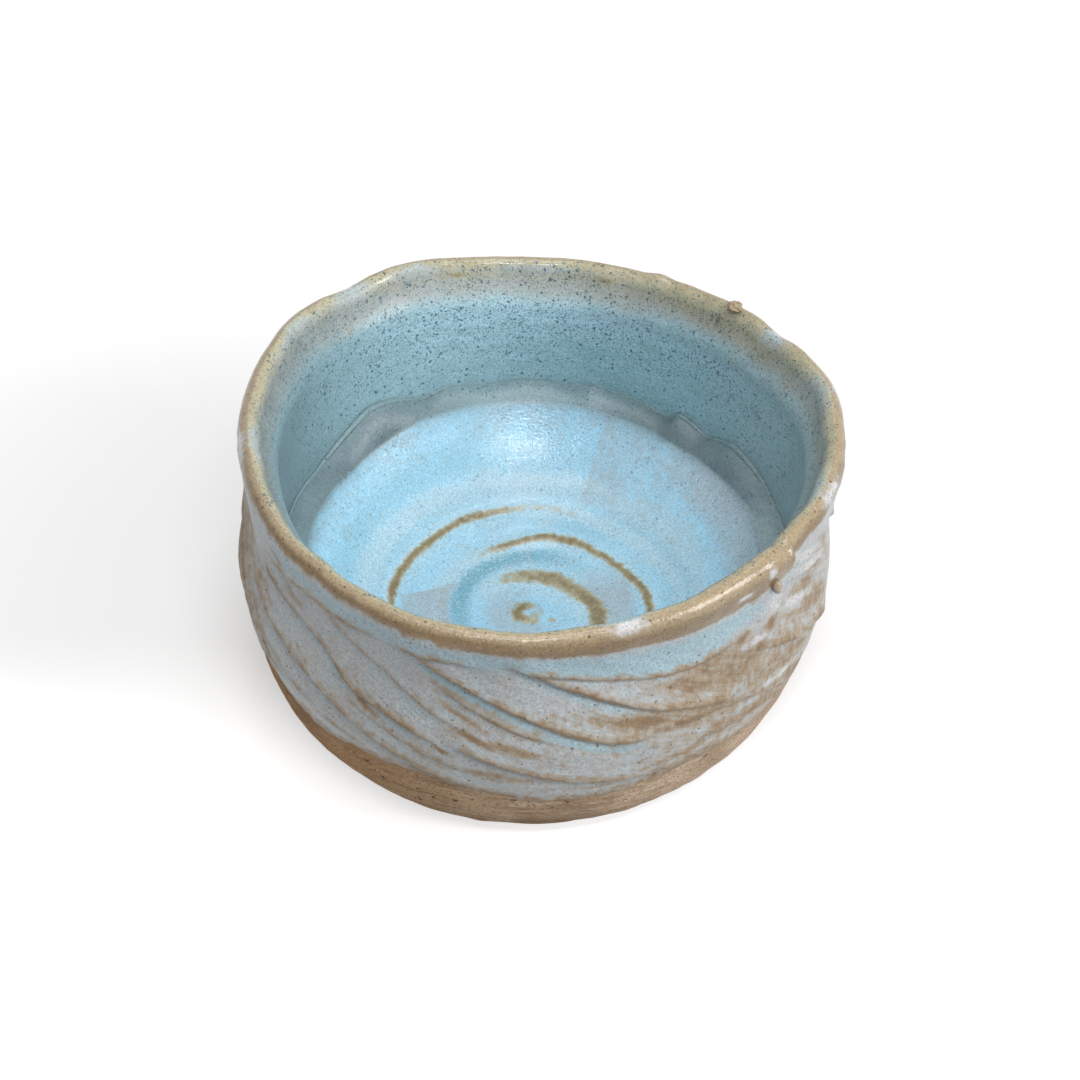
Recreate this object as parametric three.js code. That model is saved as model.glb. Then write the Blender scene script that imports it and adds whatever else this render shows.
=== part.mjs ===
import * as THREE from "three";

// A hand-built tea bowl. A strip of rolled clay is bent round and lapped at its ends for the wall,
// a thick slab pressed into a dish is the base, a coil is smeared into the corner between them, a
// ring of clay is the foot, and one glaze is poured inside while another is dipped outside.
// Millimetres, +Z up. The origin is on the table, under the middle of the bowl's box.

// Driving dimensions: the wall strip and its outline, with drops measured down from the lip
const rimRadius = 59.1; // outside of the lip
const rimHeight = 66.7; // table to the top of the lip
const wallThickness = 4.6;
const waistInset = 0.9; // how far the wall draws in below the lip
const waistDrop = 14;
const bellySwell = 1.2; // how far the belly stands out past the lip
const bellyDrop = 33;
const turnInset = 1.6; // how far the wall has drawn in where it turns under
const turnDrop = 51;
const heelInset = 4.0; // how far it has drawn in just above the underside
const heelDrop = 57;
const heelCurl = 0.4; // and how much further at the corner of the underside
const wallDrop = 44; // lip to the joint on the base slab, along the outline

// Driving dimensions: the seam where the strip's ends lap
const seamAngle = -0.73; // from +X, anticlockwise seen from above
const scarfAngle = 0.14; // how far the joint slants through the wall
const lapStep = 0.9; // how far the outer end stands proud
const lapFade = 9; // how far round the wall that swelling reaches

// Driving dimensions: base slab, coil and foot
const undersideRadius = 47.5;
const floorThickness = 6.7; // at the middle of the dish
const dishDepth = 21; // crease to the middle of the floor
const dishPower = 2.7; // how flat the middle of the dish is
const coilDrop = 26.5; // lip to the coil's torn upper edge, along the outline
const coilWidth = 6.5; // inside of the wall to the crease at the foot of the coil
const coilTear = 2; // how far that edge rises and falls
const coilTearWaves = { slow: 3, quick: 7 };
const coilLip = 3.2; // thickness of the torn edge
const coilBulge = 1.2; // how far the coil's face swells out of a straight slope
const coilToe = 1.5; // blunt end of the coil in the bottom of its corner
const footHeight = 6;
const footRadius = 29;
const footWidth = 6.4;
const footTaper = 0.9; // draw-in of each side of the foot towards the table

// Driving dimensions: glaze, joints and the small lumps on the rim
const glazeThickness = 0.55;
const glazeDrop = 39; // lip to the ragged lower edge of the outer glaze, along the outline
const glazeTear = 1.6; // how far that edge rises and falls
const glazeTearWaves = { slow: 2, quick: 5 };
const slipGap = 0.3; // film of slip or fused glass between two pieces
const crumbAngle = 0.73; // a crumb of clay fired on to the back of the rim
const crumbRadius = 1.3;
const crumbHeight = 1.1;
const beadDrop = 3; // a bead of glaze on the lapped seam, below the lip
const beadRadius = 2;
const beadHeight = 1.1;

// Driving dimensions: how far the hand-shaped rim departs from a true circle
const rimTilt = 1.6; // one side of the rim is higher
const rimTiltAngle = 3.3;
const rimWave = 0.9; // two high and two low stretches
const rimWaveAngle = 0.1;
const rimCorners = 1.5; // three soft corners
const rimCornerAngle = 0.17;
const lean = 1.4; // sideways, from the table to the lip

// Facets
const outerSteps = 64;
const innerSteps = 48;
const glazeRows = 8;
const bareRows = 2;
const rimRows = 3;
const innerWallRows = 5;
const coilRows = 4;
const dishRows = 8;
const heelRows = 6;
const lumpSides = 12;
const lumpRows = 4;

const clay = { color: 0xb48d68, roughness: 0.8, metalness: 0 };
const poured = { color: 0x8fbccb, roughness: 0.2, metalness: 0 };
const dipped = { color: 0xb5aca4, roughness: 0.3, metalness: 0 };

// The outline of the clay, from the outside of the lip down to the underside
const lipRound = wallThickness / 2;
const outline = new THREE.Path()
  .moveTo(rimRadius, rimHeight - lipRound)
  .splineThru([
    new THREE.Vector2(rimRadius - waistInset, rimHeight - waistDrop),
    new THREE.Vector2(rimRadius + bellySwell, rimHeight - bellyDrop),
    new THREE.Vector2(rimRadius - turnInset, rimHeight - turnDrop),
    new THREE.Vector2(rimRadius - heelInset, rimHeight - heelDrop),
  ])
  .quadraticCurveTo(rimRadius - heelInset - heelCurl, footHeight, undersideRadius, footHeight);
const outlineLength = outline.getLength();

// Points of a section are { r, z }, with a normal { nr, nz } where a coat lies on them.
function point(r, z, nr = 0, nz = 0) {
  return { r, z, nr, nz };
}

function raised(p, distance) {
  return { ...p, r: p.r + p.nr * distance, z: p.z + p.nz * distance };
}

// A point of the wall's outside, this far down the outline
function outsideAt(drop) {
  const share = drop / outlineLength;
  const p = outline.getPoint(share);
  const along = outline.getTangent(share);
  return point(p.x, p.y, -along.y, along.x);
}

// The same place on the wall's inside, with its normal towards the bowl's axis
function insideAt(drop) {
  const p = raised(outsideAt(drop), -wallThickness);
  return { ...p, nr: -p.nr, nz: -p.nz };
}

// A point of the rounded lip, from 0 at its outside to half a turn at its inside
function lipAt(turn) {
  const nr = Math.cos(turn);
  const nz = Math.sin(turn);
  const middle = rimRadius - lipRound;
  return point(middle + lipRound * nr, rimHeight - lipRound + lipRound * nz, nr, nz);
}

// Evenly spaced values from one end to the other, both ends included
function spread(from, to, steps) {
  return Array.from({ length: steps + 1 }, (_, i) => from + ((to - from) * i) / steps);
}

// The dish in the base slab: nearly flat at the middle, rising to the crease
const dishRadius = rimRadius - wallThickness - coilWidth;
const floorHeight = footHeight + floorThickness;
function dishAt(r) {
  const z = floorHeight + dishDepth * (r / dishRadius) ** dishPower;
  const slope = ((dishDepth * dishPower) / dishRadius) * (r / dishRadius) ** (dishPower - 1);
  const length = Math.hypot(1, slope);
  return point(r, z, -slope / length, 1 / length);
}

// How far the hand-shaped bowl departs from a turned one grows from the heel to the lip.
function placed(p, angle) {
  const share = THREE.MathUtils.smoothstep(p.z, rimHeight - turnDrop, rimHeight);
  const corners = rimCorners * Math.cos(3 * (angle - rimCornerAngle));
  const tilt = rimTilt * Math.cos(angle - rimTiltAngle);
  const wave = rimWave * Math.cos(2 * (angle - rimWaveAngle));
  const radius = p.r + (p.r > 0 ? share * corners : 0);
  const shift = (lean * p.z) / rimHeight;
  return new THREE.Vector3(
    radius * Math.cos(angle) + shift,
    radius * Math.sin(angle),
    p.z + share * (tilt + wave),
  );
}

// A ragged edge: a slow wave with a smaller, quicker one on it, reaching 1 at most either way
function ragged(angle, waves) {
  const quickShare = 0.4;
  const slow = Math.sin(waves.slow * angle);
  const quick = Math.sin(waves.quick * angle + 1);
  return slow + quickShare * (quick - slow);
}

// The torn edge of the coil and the lower edge of the outer glaze, as drops down the outline
function coilDropAt(angle) {
  return coilDrop + coilTear * ragged(angle, coilTearWaves);
}

function glazeDropAt(angle) {
  return glazeDrop + glazeTear * ragged(angle, glazeTearWaves);
}

// The outer end of the strip stands proud at the seam and dies away round and down the wall.
function lapAt(angle, drop) {
  const distance = (seamAngle + 2 * Math.PI - angle) * rimRadius;
  return lapStep * Math.exp(-distance / lapFade) * Math.max(0, 1 - drop / wallDrop);
}

// Joins sections, each anticlockwise with r to the right and z up, into one closed body. Points at
// r = 0 are shared by every section. An open row of sections gets its two end faces.
function joined(angles, closed, sectionAt) {
  const positions = [];
  const index = [];
  const sections = angles.map(sectionAt);
  const rings = [];
  sections.forEach((section, k) => {
    rings.push(
      section.map((p, m) => {
        if (p.r === 0 && k > 0) return rings[0][m];
        positions.push(...placed(p, angles[k] + (p.twist ?? 0)).toArray());
        return positions.length / 3 - 1;
      }),
    );
  });
  function triangle(a, b, c) {
    if (a !== b && b !== c && c !== a) index.push(a, b, c);
  }
  rings.slice(0, closed ? rings.length : -1).forEach((ring, k) => {
    const next = rings[(k + 1) % rings.length];
    ring.forEach((corner, m) => {
      const above = (m + 1) % ring.length;
      triangle(corner, next[m], next[above]);
      triangle(corner, next[above], ring[above]);
    });
  });
  if (!closed) {
    const contour = sections[0].map((p) => new THREE.Vector2(p.r, p.z));
    const first = rings[0];
    const last = rings[rings.length - 1];
    THREE.ShapeUtils.triangulateShape(contour, []).forEach(([a, b, c]) => {
      triangle(first[a], first[b], first[c]);
      triangle(last[c], last[b], last[a]);
    });
  }
  const geometry = new THREE.BufferGeometry();
  geometry.setAttribute("position", new THREE.Float32BufferAttribute(positions, 3));
  geometry.setIndex(index);
  geometry.computeVertexNormals();
  return geometry;
}

// Sections round the outside start and end at the seam; those inside are evenly spaced.
const slit = slipGap / rimRadius;
const outerAngles = spread(seamAngle + slit / 2, seamAngle + 2 * Math.PI - slit / 2, outerSteps);
const innerAngles = spread(0, 2 * Math.PI, innerSteps).slice(0, innerSteps);

// Outside of the wall down to the glaze's edge, then over the bare clay to the joint
function outsideRows(angle) {
  const glazed = spread(0, glazeDropAt(angle), glazeRows);
  const bare = spread(glazeDropAt(angle), wallDrop, bareRows).slice(1);
  return { glazed, bare };
}

function proud(p, angle, drop) {
  return raised(p, lapAt(angle, drop));
}

// Wall strip: up the outside, over the lip and down the inside, slanted at the seam
function wallSection(angle) {
  const { glazed, bare } = outsideRows(angle);
  const up = [...glazed, ...bare].reverse().map((drop) => proud(outsideAt(drop), angle, drop));
  const over = spread(0, Math.PI, 2 * rimRows)
    .slice(1, -1)
    .map((turn) => {
      const lap = lapAt(angle, 0) * Math.max(0, Math.cos(turn));
      return { ...raised(lipAt(turn), lap), twist: (-scarfAngle * turn) / Math.PI };
    });
  const down = spread(0, wallDrop, innerWallRows + 2).map((drop) => ({
    ...insideAt(drop),
    twist: -scarfAngle,
  }));
  return [...up, ...over, ...down];
}

// Base slab: underside, heel, the shoulder that carries the wall, the coil's seat and the dish
const shoulder = insideAt(wallDrop + slipGap);
const crease = dishAt(dishRadius);
function baseSection() {
  const heel = spread(outlineLength, wallDrop + slipGap, heelRows).map(outsideAt);
  const dish = spread(dishRadius, 0, dishRows).map(dishAt);
  return [point(0, footHeight), ...heel, shoulder, ...dish];
}

// Coil: against the wall, over its torn lip, down its swollen face and back along its seat
const seat = new THREE.Vector2(crease.r - shoulder.r, crease.z - shoulder.z).normalize();
function offSeat(p, along) {
  return point(p.r + seat.x * along + seat.y * slipGap, p.z + seat.y * along - seat.x * slipGap);
}

function coilFace(angle) {
  const top = raised(insideAt(coilDropAt(angle)), slipGap);
  const lip = raised(insideAt(coilDropAt(angle)), slipGap + coilLip);
  const foot = offSeat(crease, 0);
  const swell = new THREE.Vector2(foot.z - lip.z, lip.r - foot.r).setLength(coilBulge);
  const face = new THREE.QuadraticBezierCurve(
    new THREE.Vector2(lip.r, lip.z),
    new THREE.Vector2((lip.r + foot.r) / 2 + swell.x, (lip.z + foot.z) / 2 + swell.y),
    new THREE.Vector2(foot.r, foot.z),
  );
  const rows = spread(0, 1, coilRows).map((share) => {
    const p = face.getPoint(share);
    const along = face.getTangent(share);
    return point(p.x, p.y, along.y, -along.x);
  });
  return { top, rows };
}

function coilSection(angle) {
  const { top, rows } = coilFace(angle);
  const heel = offSeat(shoulder, coilToe);
  const toe = raised(insideAt(wallDrop - coilToe), slipGap);
  return [heel, toe, top, ...rows];
}

// Foot ring, drawn in a little towards the table
function footSection() {
  const top = footHeight - slipGap;
  const inner = footRadius - footWidth;
  return [
    point(inner + footTaper, 0),
    point(footRadius - footTaper, 0),
    point(footRadius, top),
    point(inner, top),
  ];
}

// Where two faces meet, a coat's corner lies as far from both.
function mitred(p, other) {
  const reach = 1 + p.nr * other.nr + p.nz * other.nz;
  return { ...p, nr: (p.nr + other.nr) / reach, nz: (p.nz + other.nz) / reach };
}

// A coat lies off the clay by the joint's gap, and closes on itself at both ends.
const coatUnder = slipGap;
const coatOver = slipGap + glazeThickness;
const crestGap = slipGap / wallThickness;

// Dipped glaze: from the crest of the lip over the outside to its ragged lower edge
function outerGlazeSection(angle) {
  const rim = spread(Math.PI / 2 - crestGap, 0, rimRows)
    .slice(0, -1)
    .map((turn) => raised(lipAt(turn), lapAt(angle, 0) * Math.cos(turn)));
  const wall = outsideRows(angle).glazed.map((drop) => proud(outsideAt(drop), angle, drop));
  const rows = [...rim, ...wall];
  const over = rows.map((p) => raised(p, coatOver)).reverse();
  return [...over, ...rows.map((p) => raised(p, coatUnder))];
}

// Poured glaze: from the crest of the lip down the wall, over the coil and across the dish
function innerGlazeSection(angle) {
  const rim = spread(Math.PI / 2 + crestGap, Math.PI, rimRows).slice(0, -1).map(lipAt);
  const { rows: coil } = coilFace(angle);
  const tear = insideAt(coilDropAt(angle));
  const corner = { ...tear, nz: 1 };
  const wall = spread(0, coilDropAt(angle), innerWallRows).slice(0, -1).map(insideAt);
  const lip = { ...coil[0], nr: tear.nr, nz: 1 };
  const valley = mitred(crease, coil[coilRows]);
  const dish = spread(dishRadius, 0, dishRows).slice(1).map(dishAt);
  const rows = [...rim, ...wall, corner, lip, ...coil.slice(1, -1), valley, ...dish];
  const under = rows.map((p) => raised(p, coatUnder)).reverse();
  return [...under, ...rows.map((p) => raised(p, coatOver))];
}

function piece(name, geometry, finish) {
  const mesh = new THREE.Mesh(geometry, new THREE.MeshStandardMaterial(finish));
  mesh.name = name;
  return mesh;
}

// A low dome with a flat base, seated on the glaze over a point of the clay and standing along
// that point's normal
function lump(name, finish, p, angle, radius, height) {
  const dome = spread(0, Math.PI / 2, lumpRows).map(
    (turn) => new THREE.Vector2(radius * Math.cos(turn), height * Math.sin(turn)),
  );
  dome[lumpRows].x = 0;
  const geometry = new THREE.LatheGeometry([new THREE.Vector2(0, 0), ...dome], lumpSides);
  const mesh = piece(name, geometry, finish);
  const base = placed(raised(p, coatOver + slipGap), angle);
  const tip = placed(raised(p, coatOver + slipGap + height), angle);
  mesh.position.copy(base);
  mesh.quaternion.setFromUnitVectors(new THREE.Vector3(0, 1, 0), tip.sub(base).normalize());
  return mesh;
}

const beadSeat = raised(outsideAt(beadDrop), lapStep);
const bowl = new THREE.Group();
bowl.add(
  piece("foot_ring", joined(innerAngles, true, footSection), clay),
  piece("base_slab", joined(innerAngles, true, baseSection), clay),
  piece("wall_strip", joined(outerAngles, false, wallSection), clay),
  piece("corner_coil", joined(innerAngles, true, coilSection), clay),
  piece("inner_glaze", joined(innerAngles, true, innerGlazeSection), poured),
  piece("outer_glaze", joined(outerAngles, true, outerGlazeSection), dipped),
  lump("rim_crumb", clay, lipAt(Math.PI / 2), crumbAngle, crumbRadius, crumbHeight),
  lump("seam_bead", dipped, beadSeat, seamAngle, beadRadius, beadHeight),
);

// The hand-shaped rim isn't quite over the foot, so the bowl is centred by its box.
const middle = new THREE.Box3().setFromObject(bowl).getCenter(new THREE.Vector3());
bowl.position.set(-middle.x, -middle.y, 0);

export default bowl;
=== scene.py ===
import math

import bmesh
import bpy
import numpy as np
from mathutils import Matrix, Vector, noise


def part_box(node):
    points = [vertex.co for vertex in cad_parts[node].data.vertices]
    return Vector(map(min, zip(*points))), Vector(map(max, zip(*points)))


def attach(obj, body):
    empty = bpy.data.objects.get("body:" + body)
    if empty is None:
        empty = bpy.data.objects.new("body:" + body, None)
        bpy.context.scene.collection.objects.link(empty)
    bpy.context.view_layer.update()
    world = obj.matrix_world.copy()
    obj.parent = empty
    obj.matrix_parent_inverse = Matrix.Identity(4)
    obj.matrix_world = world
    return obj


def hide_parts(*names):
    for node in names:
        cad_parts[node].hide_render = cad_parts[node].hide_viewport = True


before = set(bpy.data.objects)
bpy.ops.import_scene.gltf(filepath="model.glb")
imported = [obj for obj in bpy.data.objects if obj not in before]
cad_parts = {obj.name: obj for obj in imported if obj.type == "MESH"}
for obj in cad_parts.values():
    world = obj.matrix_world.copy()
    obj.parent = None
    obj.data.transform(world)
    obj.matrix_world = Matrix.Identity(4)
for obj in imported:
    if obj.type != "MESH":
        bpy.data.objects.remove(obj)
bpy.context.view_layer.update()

# Foot ring: a hand-rolled ring of the bowl's buff clay, luted under the base with slip and left
# bare. Its sides draw in a little towards the table and its edges are worn round. The places of
# every later piece are measured from this ring's axis.
mm = 0.001
rim_height = 66.7 * mm
lean = 1.4 * mm
foot_height = 6 * mm
foot_radius = 29 * mm
foot_width = 6.4 * mm
foot_taper = 0.9 * mm
foot_round = 1.1 * mm
slip_gap = 0.3 * mm

wedges = 20

foot_low, foot_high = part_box("foot_ring")
axis_x = (foot_low.x + foot_high.x) / 2 - lean * foot_high.z / rim_height
axis_y = (foot_low.y + foot_high.y) / 2


def turned(section, steps, rows=None, sweep=2 * math.pi, start=0):
    """A closed section of (radius, height) points, spun round the axis into a bmesh. One wedge is
    spun first and then repeated round, which is quicker than a spin of all the steps."""
    bm = bmesh.new()
    row_layer = bm.verts.layers.float.new("row")
    under_layer = bm.verts.layers.float.new("under")
    loop = []
    for i, (radius, height) in enumerate(section):
        vert = bm.verts.new((radius * math.cos(start), radius * math.sin(start), height))
        if rows:
            vert[row_layer], vert[under_layer] = rows[i]
        loop.append(vert)
    for vert, following in zip(loop, loop[1:] + loop[:1]):
        if vert.co.xy.length + following.co.xy.length > 0:
            bm.edges.new((vert, following))
    wedge = sweep / wedges
    bmesh.ops.spin(
        bm, geom=bm.verts[:] + bm.edges[:], axis=(0, 0, 1), cent=(0, 0, 0),
        angle=wedge, steps=steps // wedges,
    )
    bmesh.ops.spin(
        bm, geom=bm.verts[:] + bm.edges[:] + bm.faces[:], axis=(0, 0, 1), cent=(0, 0, 0),
        angle=sweep - wedge, steps=wedges - 1, use_duplicate=True,
    )
    bmesh.ops.remove_doubles(bm, verts=bm.verts, dist=0.001 * mm)
    bmesh.ops.holes_fill(bm, edges=[e for e in bm.edges if e.is_boundary], sides=0)
    bmesh.ops.recalc_face_normals(bm, faces=bm.faces)
    return bm


def finished(name, bm, crease=math.radians(50)):
    """The bmesh as a named smooth-shaded object, with its sharp corners kept sharp."""
    for edge in bm.edges:
        edge.smooth = edge.calc_face_angle(0) < crease
    mesh = bpy.data.meshes.new(name)
    bm.to_mesh(mesh)
    bm.free()
    mesh.shade_smooth()
    piece = bpy.data.objects.new(name, mesh)
    bpy.context.scene.collection.objects.link(piece)
    return piece


def points_of(mesh):
    places = np.empty(len(mesh.vertices) * 3)
    mesh.vertices.foreach_get("co", places)
    return places.reshape(-1, 3)


def moved(mesh, places):
    mesh.vertices.foreach_set("co", np.ascontiguousarray(places).ravel())
    mesh.update()


def ripple(places, size):
    """Smooth noise from -1 to 1, in lumps of about this size."""
    return np.array([noise.noise(Vector(place) / size) for place in places])


def new_material(name):
    material = bpy.data.materials.new(name)
    material.use_nodes = True
    tree = material.node_tree
    return material, tree, tree.nodes["Principled BSDF"]


def node(tree, kind, values=None, **settings):
    """A node of this kind, with its settings, and its inputs set or linked by name or number."""
    made = tree.nodes.new("ShaderNode" + kind)
    for key, value in settings.items():
        setattr(made, key, value)
    for key, value in (values or {}).items():
        if isinstance(value, bpy.types.NodeSocket):
            tree.links.new(value, made.inputs[key])
        else:
            made.inputs[key].default_value = value
    return made


def read(tree, name):
    """A value painted on the mesh, or 0 on a mesh without it."""
    return node(tree, "Attribute", attribute_name=name).outputs["Fac"]


def worked(tree, operation, first, second):
    return node(tree, "Math", {0: first, 1: second}, operation=operation).outputs[0]


def times(tree, first, second):
    return worked(tree, "MULTIPLY", first, second)


def added(tree, value, extra, share):
    """A value with a share of another one added to it."""
    return worked(tree, "ADD", value, times(tree, extra, share))


def blended(tree, share, first, second, way="MIX"):
    """Two colours mixed by a share."""
    made = node(tree, "Mix", {"Factor": share}, data_type="RGBA", blend_type=way)
    for socket, colour in (("A_Color", first), ("B_Color", second)):
        target = next(i for i in made.inputs if i.identifier == socket)
        if isinstance(colour, bpy.types.NodeSocket):
            tree.links.new(colour, target)
        else:
            target.default_value = (*colour, 1)
    return next(o for o in made.outputs if o.identifier == "Result_Color")


def layered(tree, colour, *layers):
    """A colour with others laid over it in turn, each by its own share."""
    for share, tint in layers:
        colour = blended(tree, share, colour, tint)
    return colour


def ranged(tree, value, low, high):
    """A value eased from 0 at low to 1 at high."""
    made = node(
        tree, "MapRange", {"Value": value, "From Min": low, "From Max": high},
        interpolation_type="SMOOTHSTEP",
    )
    return made.outputs["Result"]


def new_group(name, numbers, results):
    """An empty node group that takes a Vector and these numbers, with its inputs and outputs."""
    group = bpy.data.node_groups.new(name, "ShaderNodeTree")
    group.interface.new_socket("Vector", in_out="INPUT", socket_type="NodeSocketVector")
    for title in numbers:
        group.interface.new_socket(title, in_out="INPUT", socket_type="NodeSocketFloat")
    for title in results:
        group.interface.new_socket(title, in_out="OUTPUT", socket_type="NodeSocketFloat")
    start = group.nodes.new("NodeGroupInput")
    end = group.nodes.new("NodeGroupOutput")
    return group, start.outputs, end.inputs


def specks_group():
    """Ragged specks of uneven size: the Share says how many of the cells hold one."""
    group, given, results = new_group("fired_specks", ("Scale", "Share"), ("Mask",))
    where = {"Vector": given["Vector"]}
    cells = node(group, "TexVoronoi", where | {"Scale": given["Scale"]})
    rough = node(group, "TexNoise", where | {"Scale": times(group, given["Scale"], 2.6), "Detail": 2})
    chance = node(group, "SeparateColor", {0: cells.outputs["Color"]})
    chosen = worked(group, "LESS_THAN", chance.outputs[0], given["Share"])
    size = times(group, chance.outputs[1], 0.42)
    inside = worked(group, "SUBTRACT", size, cells.outputs["Distance"])
    wander = worked(group, "SUBTRACT", rough.outputs["Fac"], 0.45)
    ragged_speck = ranged(group, added(group, inside, wander, 1.4), 0.0, 0.14)
    group.links.new(times(group, chosen, ragged_speck), results["Mask"])
    return group


fired_specks = specks_group()


def specked(tree, where, scale, share):
    """A mask of fired specks."""
    values = {"Vector": where, "Scale": scale, "Share": share}
    return node(tree, "Group", values, node_tree=fired_specks).outputs["Mask"]


def bumped(tree, surface, height, strength, distance):
    bump = node(tree, "Bump", {"Height": height, "Strength": strength, "Distance": distance})
    tree.links.new(bump.outputs[0], surface.inputs["Normal"])


clay_buff = (0.65, 0.48, 0.325)
clay_pale = (0.75, 0.62, 0.49)
clay_dark = (0.33, 0.215, 0.125)
clay_painted_shade = (0.76, 0.585, 0.36)
ash_film = (0.34, 0.28, 0.17)
iron_brown = (0.09, 0.04, 0.018)

bare_clay, tree, surface = new_material("bare_clay")
here = node(tree, "TexCoord").outputs["Object"]
scraped_round = {"Vector": here, "Scale": (1, 1, 8), "Rotation": (0.05, 0.04, 0)}
streaks_at = node(tree, "Mapping", scraped_round).outputs[0]
streak_values = {"Vector": streaks_at, "Scale": 110, "Detail": 6, "Roughness": 0.7}
streaks = node(tree, "TexNoise", streak_values).outputs["Fac"]
clouds = node(tree, "TexNoise", {"Vector": here, "Scale": 60, "Detail": 4}).outputs["Fac"]
grain = node(tree, "TexNoise", {"Vector": here, "Scale": 1500, "Detail": 3}).outputs["Fac"]
colour = layered(
    tree, clay_buff,
    (ranged(tree, clouds, 0.4, 0.7), clay_dark),
    (ranged(tree, streaks, 0.53, 0.68), clay_pale),
    (ranged(tree, streaks, 0.48, 0.36), clay_dark),
    (ranged(tree, grain, 0.5, 0.7), clay_dark),
    (specked(tree, here, 700, 0.09), iron_brown),
)
# Painted shade and light: the clay is made browner and darker on its left side, away from the lamp at
# the right, and paler on its right side
across = node(tree, "SeparateXYZ", {0: here}).outputs["X"]
colour = blended(tree, ranged(tree, across, 0.01, -0.05), colour, clay_painted_shade, "MULTIPLY")
colour = layered(
    tree, colour,
    (times(tree, ranged(tree, across, 0.0, 0.05), 0.25), clay_pale),
    (times(tree, read(tree, "ash"), 0.75), ash_film),
)
tree.links.new(colour, surface.inputs["Base Color"])
surface.inputs["Roughness"].default_value = 0.72
surface.inputs["Specular IOR Level"].default_value = 0.35
bumped(tree, surface, added(tree, streaks, grain, 0.5), 0.9, 1.1 * mm)

foot_top = foot_height - slip_gap
foot_inner = foot_radius - foot_width
bm = turned(
    [
        (foot_inner + foot_taper, 0),
        (foot_radius - foot_taper, 0),
        (foot_radius, foot_top),
        (foot_inner, foot_top),
    ],
    steps=160,
)
corners = [e for e in bm.edges if e.calc_face_angle(0) > 0.5 and e.verts[0].co.z < foot_top / 2]
bmesh.ops.bevel(
    bm, geom=corners, offset=foot_round, segments=4, profile=0.5, affect="EDGES", material=-1,
)
foot = finished("foot", bm)
places = points_of(foot.data)
worn = 0.35 * mm * ripple(places, 14 * mm) + 0.12 * mm * ripple(places, 3 * mm)
radii = np.hypot(places[:, 0], places[:, 1])
places[:, :2] *= (1 + worn / radii)[:, None]
places[:, 0] += axis_x + lean * places[:, 2] / rim_height
places[:, 1] += axis_y
moved(foot.data, places)
foot.data.materials.append(bare_clay)
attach(foot, "root")
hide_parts("foot_ring")

# Base slab: a thick slab of buff clay, pressed into a dish from inside and curled up at its edge
# to meet the wall. Its outside is scraped round with a rib and stays bare under the glaze's edge.
rim_radius = 59.1 * mm
wall_thickness = 4.6 * mm
# Points down the wall's outside: how far in from the rim's radius, and how far below the rim
waist = (0.9 * mm, 14 * mm)
belly = (-1.2 * mm, 33 * mm)
turn_under = (1.6 * mm, 51 * mm)
heel = (4.7 * mm, 56.7 * mm)
heel_curl = 0.4 * mm
underside_radius = 47.5 * mm
wall_drop = 44 * mm
floor_thickness = 6.7 * mm
dish_depth = 21 * mm
dish_power = 2.7
coil_width = 6.5 * mm
round_steps = 800
hidden_depth = 1.5 * mm
coat_over = 0.85 * mm
lip_taper = 1.9 * mm

rim_tilt = 1.6 * mm
rim_tilt_angle = 3.3
rim_wave = 0.9 * mm
rim_wave_angle = 0.1
rim_corners = 1.5 * mm
rim_corner_angle = 0.17


def smooth_line(points, steps=12):
    """A smooth curve through a few points, with this many steps between each two of them."""
    p = np.array(points, float)
    p = np.vstack([p[:1], p, p[-1:]])
    t = np.linspace(0, 1, steps, endpoint=False)[:, None]
    stretches = []
    for a, b, c, d in zip(p, p[1:], p[2:], p[3:]):
        bend = (2 * a - 5 * b + 4 * c - d) * t**2 + (3 * b - a - 3 * c + d) * t**3
        stretches.append(b + (c - a) * t / 2 + bend / 2)
    return np.vstack(stretches + [p[-1:]])


# The outline of the clay from the outside of the lip to the underside, by its length from the lip
lip_round = wall_thickness / 2
wall_line = smooth_line(
    [(rim_radius, rim_height - lip_round)]
    + [(rim_radius - inset, rim_height - drop) for inset, drop in (waist, belly, turn_under, heel)],
    steps=30,
)
bend_share = np.linspace(0, 1, 31)[1:, None]
heel_corner = np.array([rim_radius - heel[0] - heel_curl, foot_height])
heel_line = (
    (1 - bend_share) ** 2 * wall_line[-1]
    + 2 * bend_share * (1 - bend_share) * heel_corner
    + bend_share**2 * np.array([underside_radius, foot_height])
)
outline = np.vstack([wall_line, heel_line])
outline_drop = np.concatenate([[0], np.cumsum(np.hypot(*np.diff(outline, axis=0).T))])
outline_slope = np.gradient(outline, axis=0)
outline_slope /= np.hypot(*outline_slope.T)[:, None]


def outside_at(drop):
    """Radius, height and outward normal of the wall's outside, this far down the outline."""
    radius = np.interp(drop, outline_drop, outline[:, 0])
    height = np.interp(drop, outline_drop, outline[:, 1])
    normal_r = -np.interp(drop, outline_drop, outline_slope[:, 1])
    normal_z = np.interp(drop, outline_drop, outline_slope[:, 0])
    return radius, height, normal_r, normal_z


def inside_at(drop):
    """The same place on the wall's inside, with its normal towards the axis."""
    radius, height, normal_r, normal_z = outside_at(drop)
    return (
        radius - wall_thickness * normal_r,
        height - wall_thickness * normal_z,
        -normal_r,
        -normal_z,
    )


dish_radius = rim_radius - wall_thickness - coil_width
floor_height = foot_height + floor_thickness


def dish_at(radius):
    """Height and normal of the dish pressed into the base, at this radius."""
    share = radius / dish_radius
    height = floor_height + dish_depth * share**dish_power
    slope = dish_depth * dish_power / dish_radius * share ** (dish_power - 1)
    length = np.hypot(1, slope)
    return height, -slope / length, 1 / length


def eased(value, low, high):
    share = np.clip((value - low) / (high - low), 0, 1)
    return share * share * (3 - 2 * share)


def hump(value, middle, half_width):
    """1 at the middle, and softly less to either side."""
    return np.exp(-(((value - middle) / half_width) ** 2))


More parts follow.
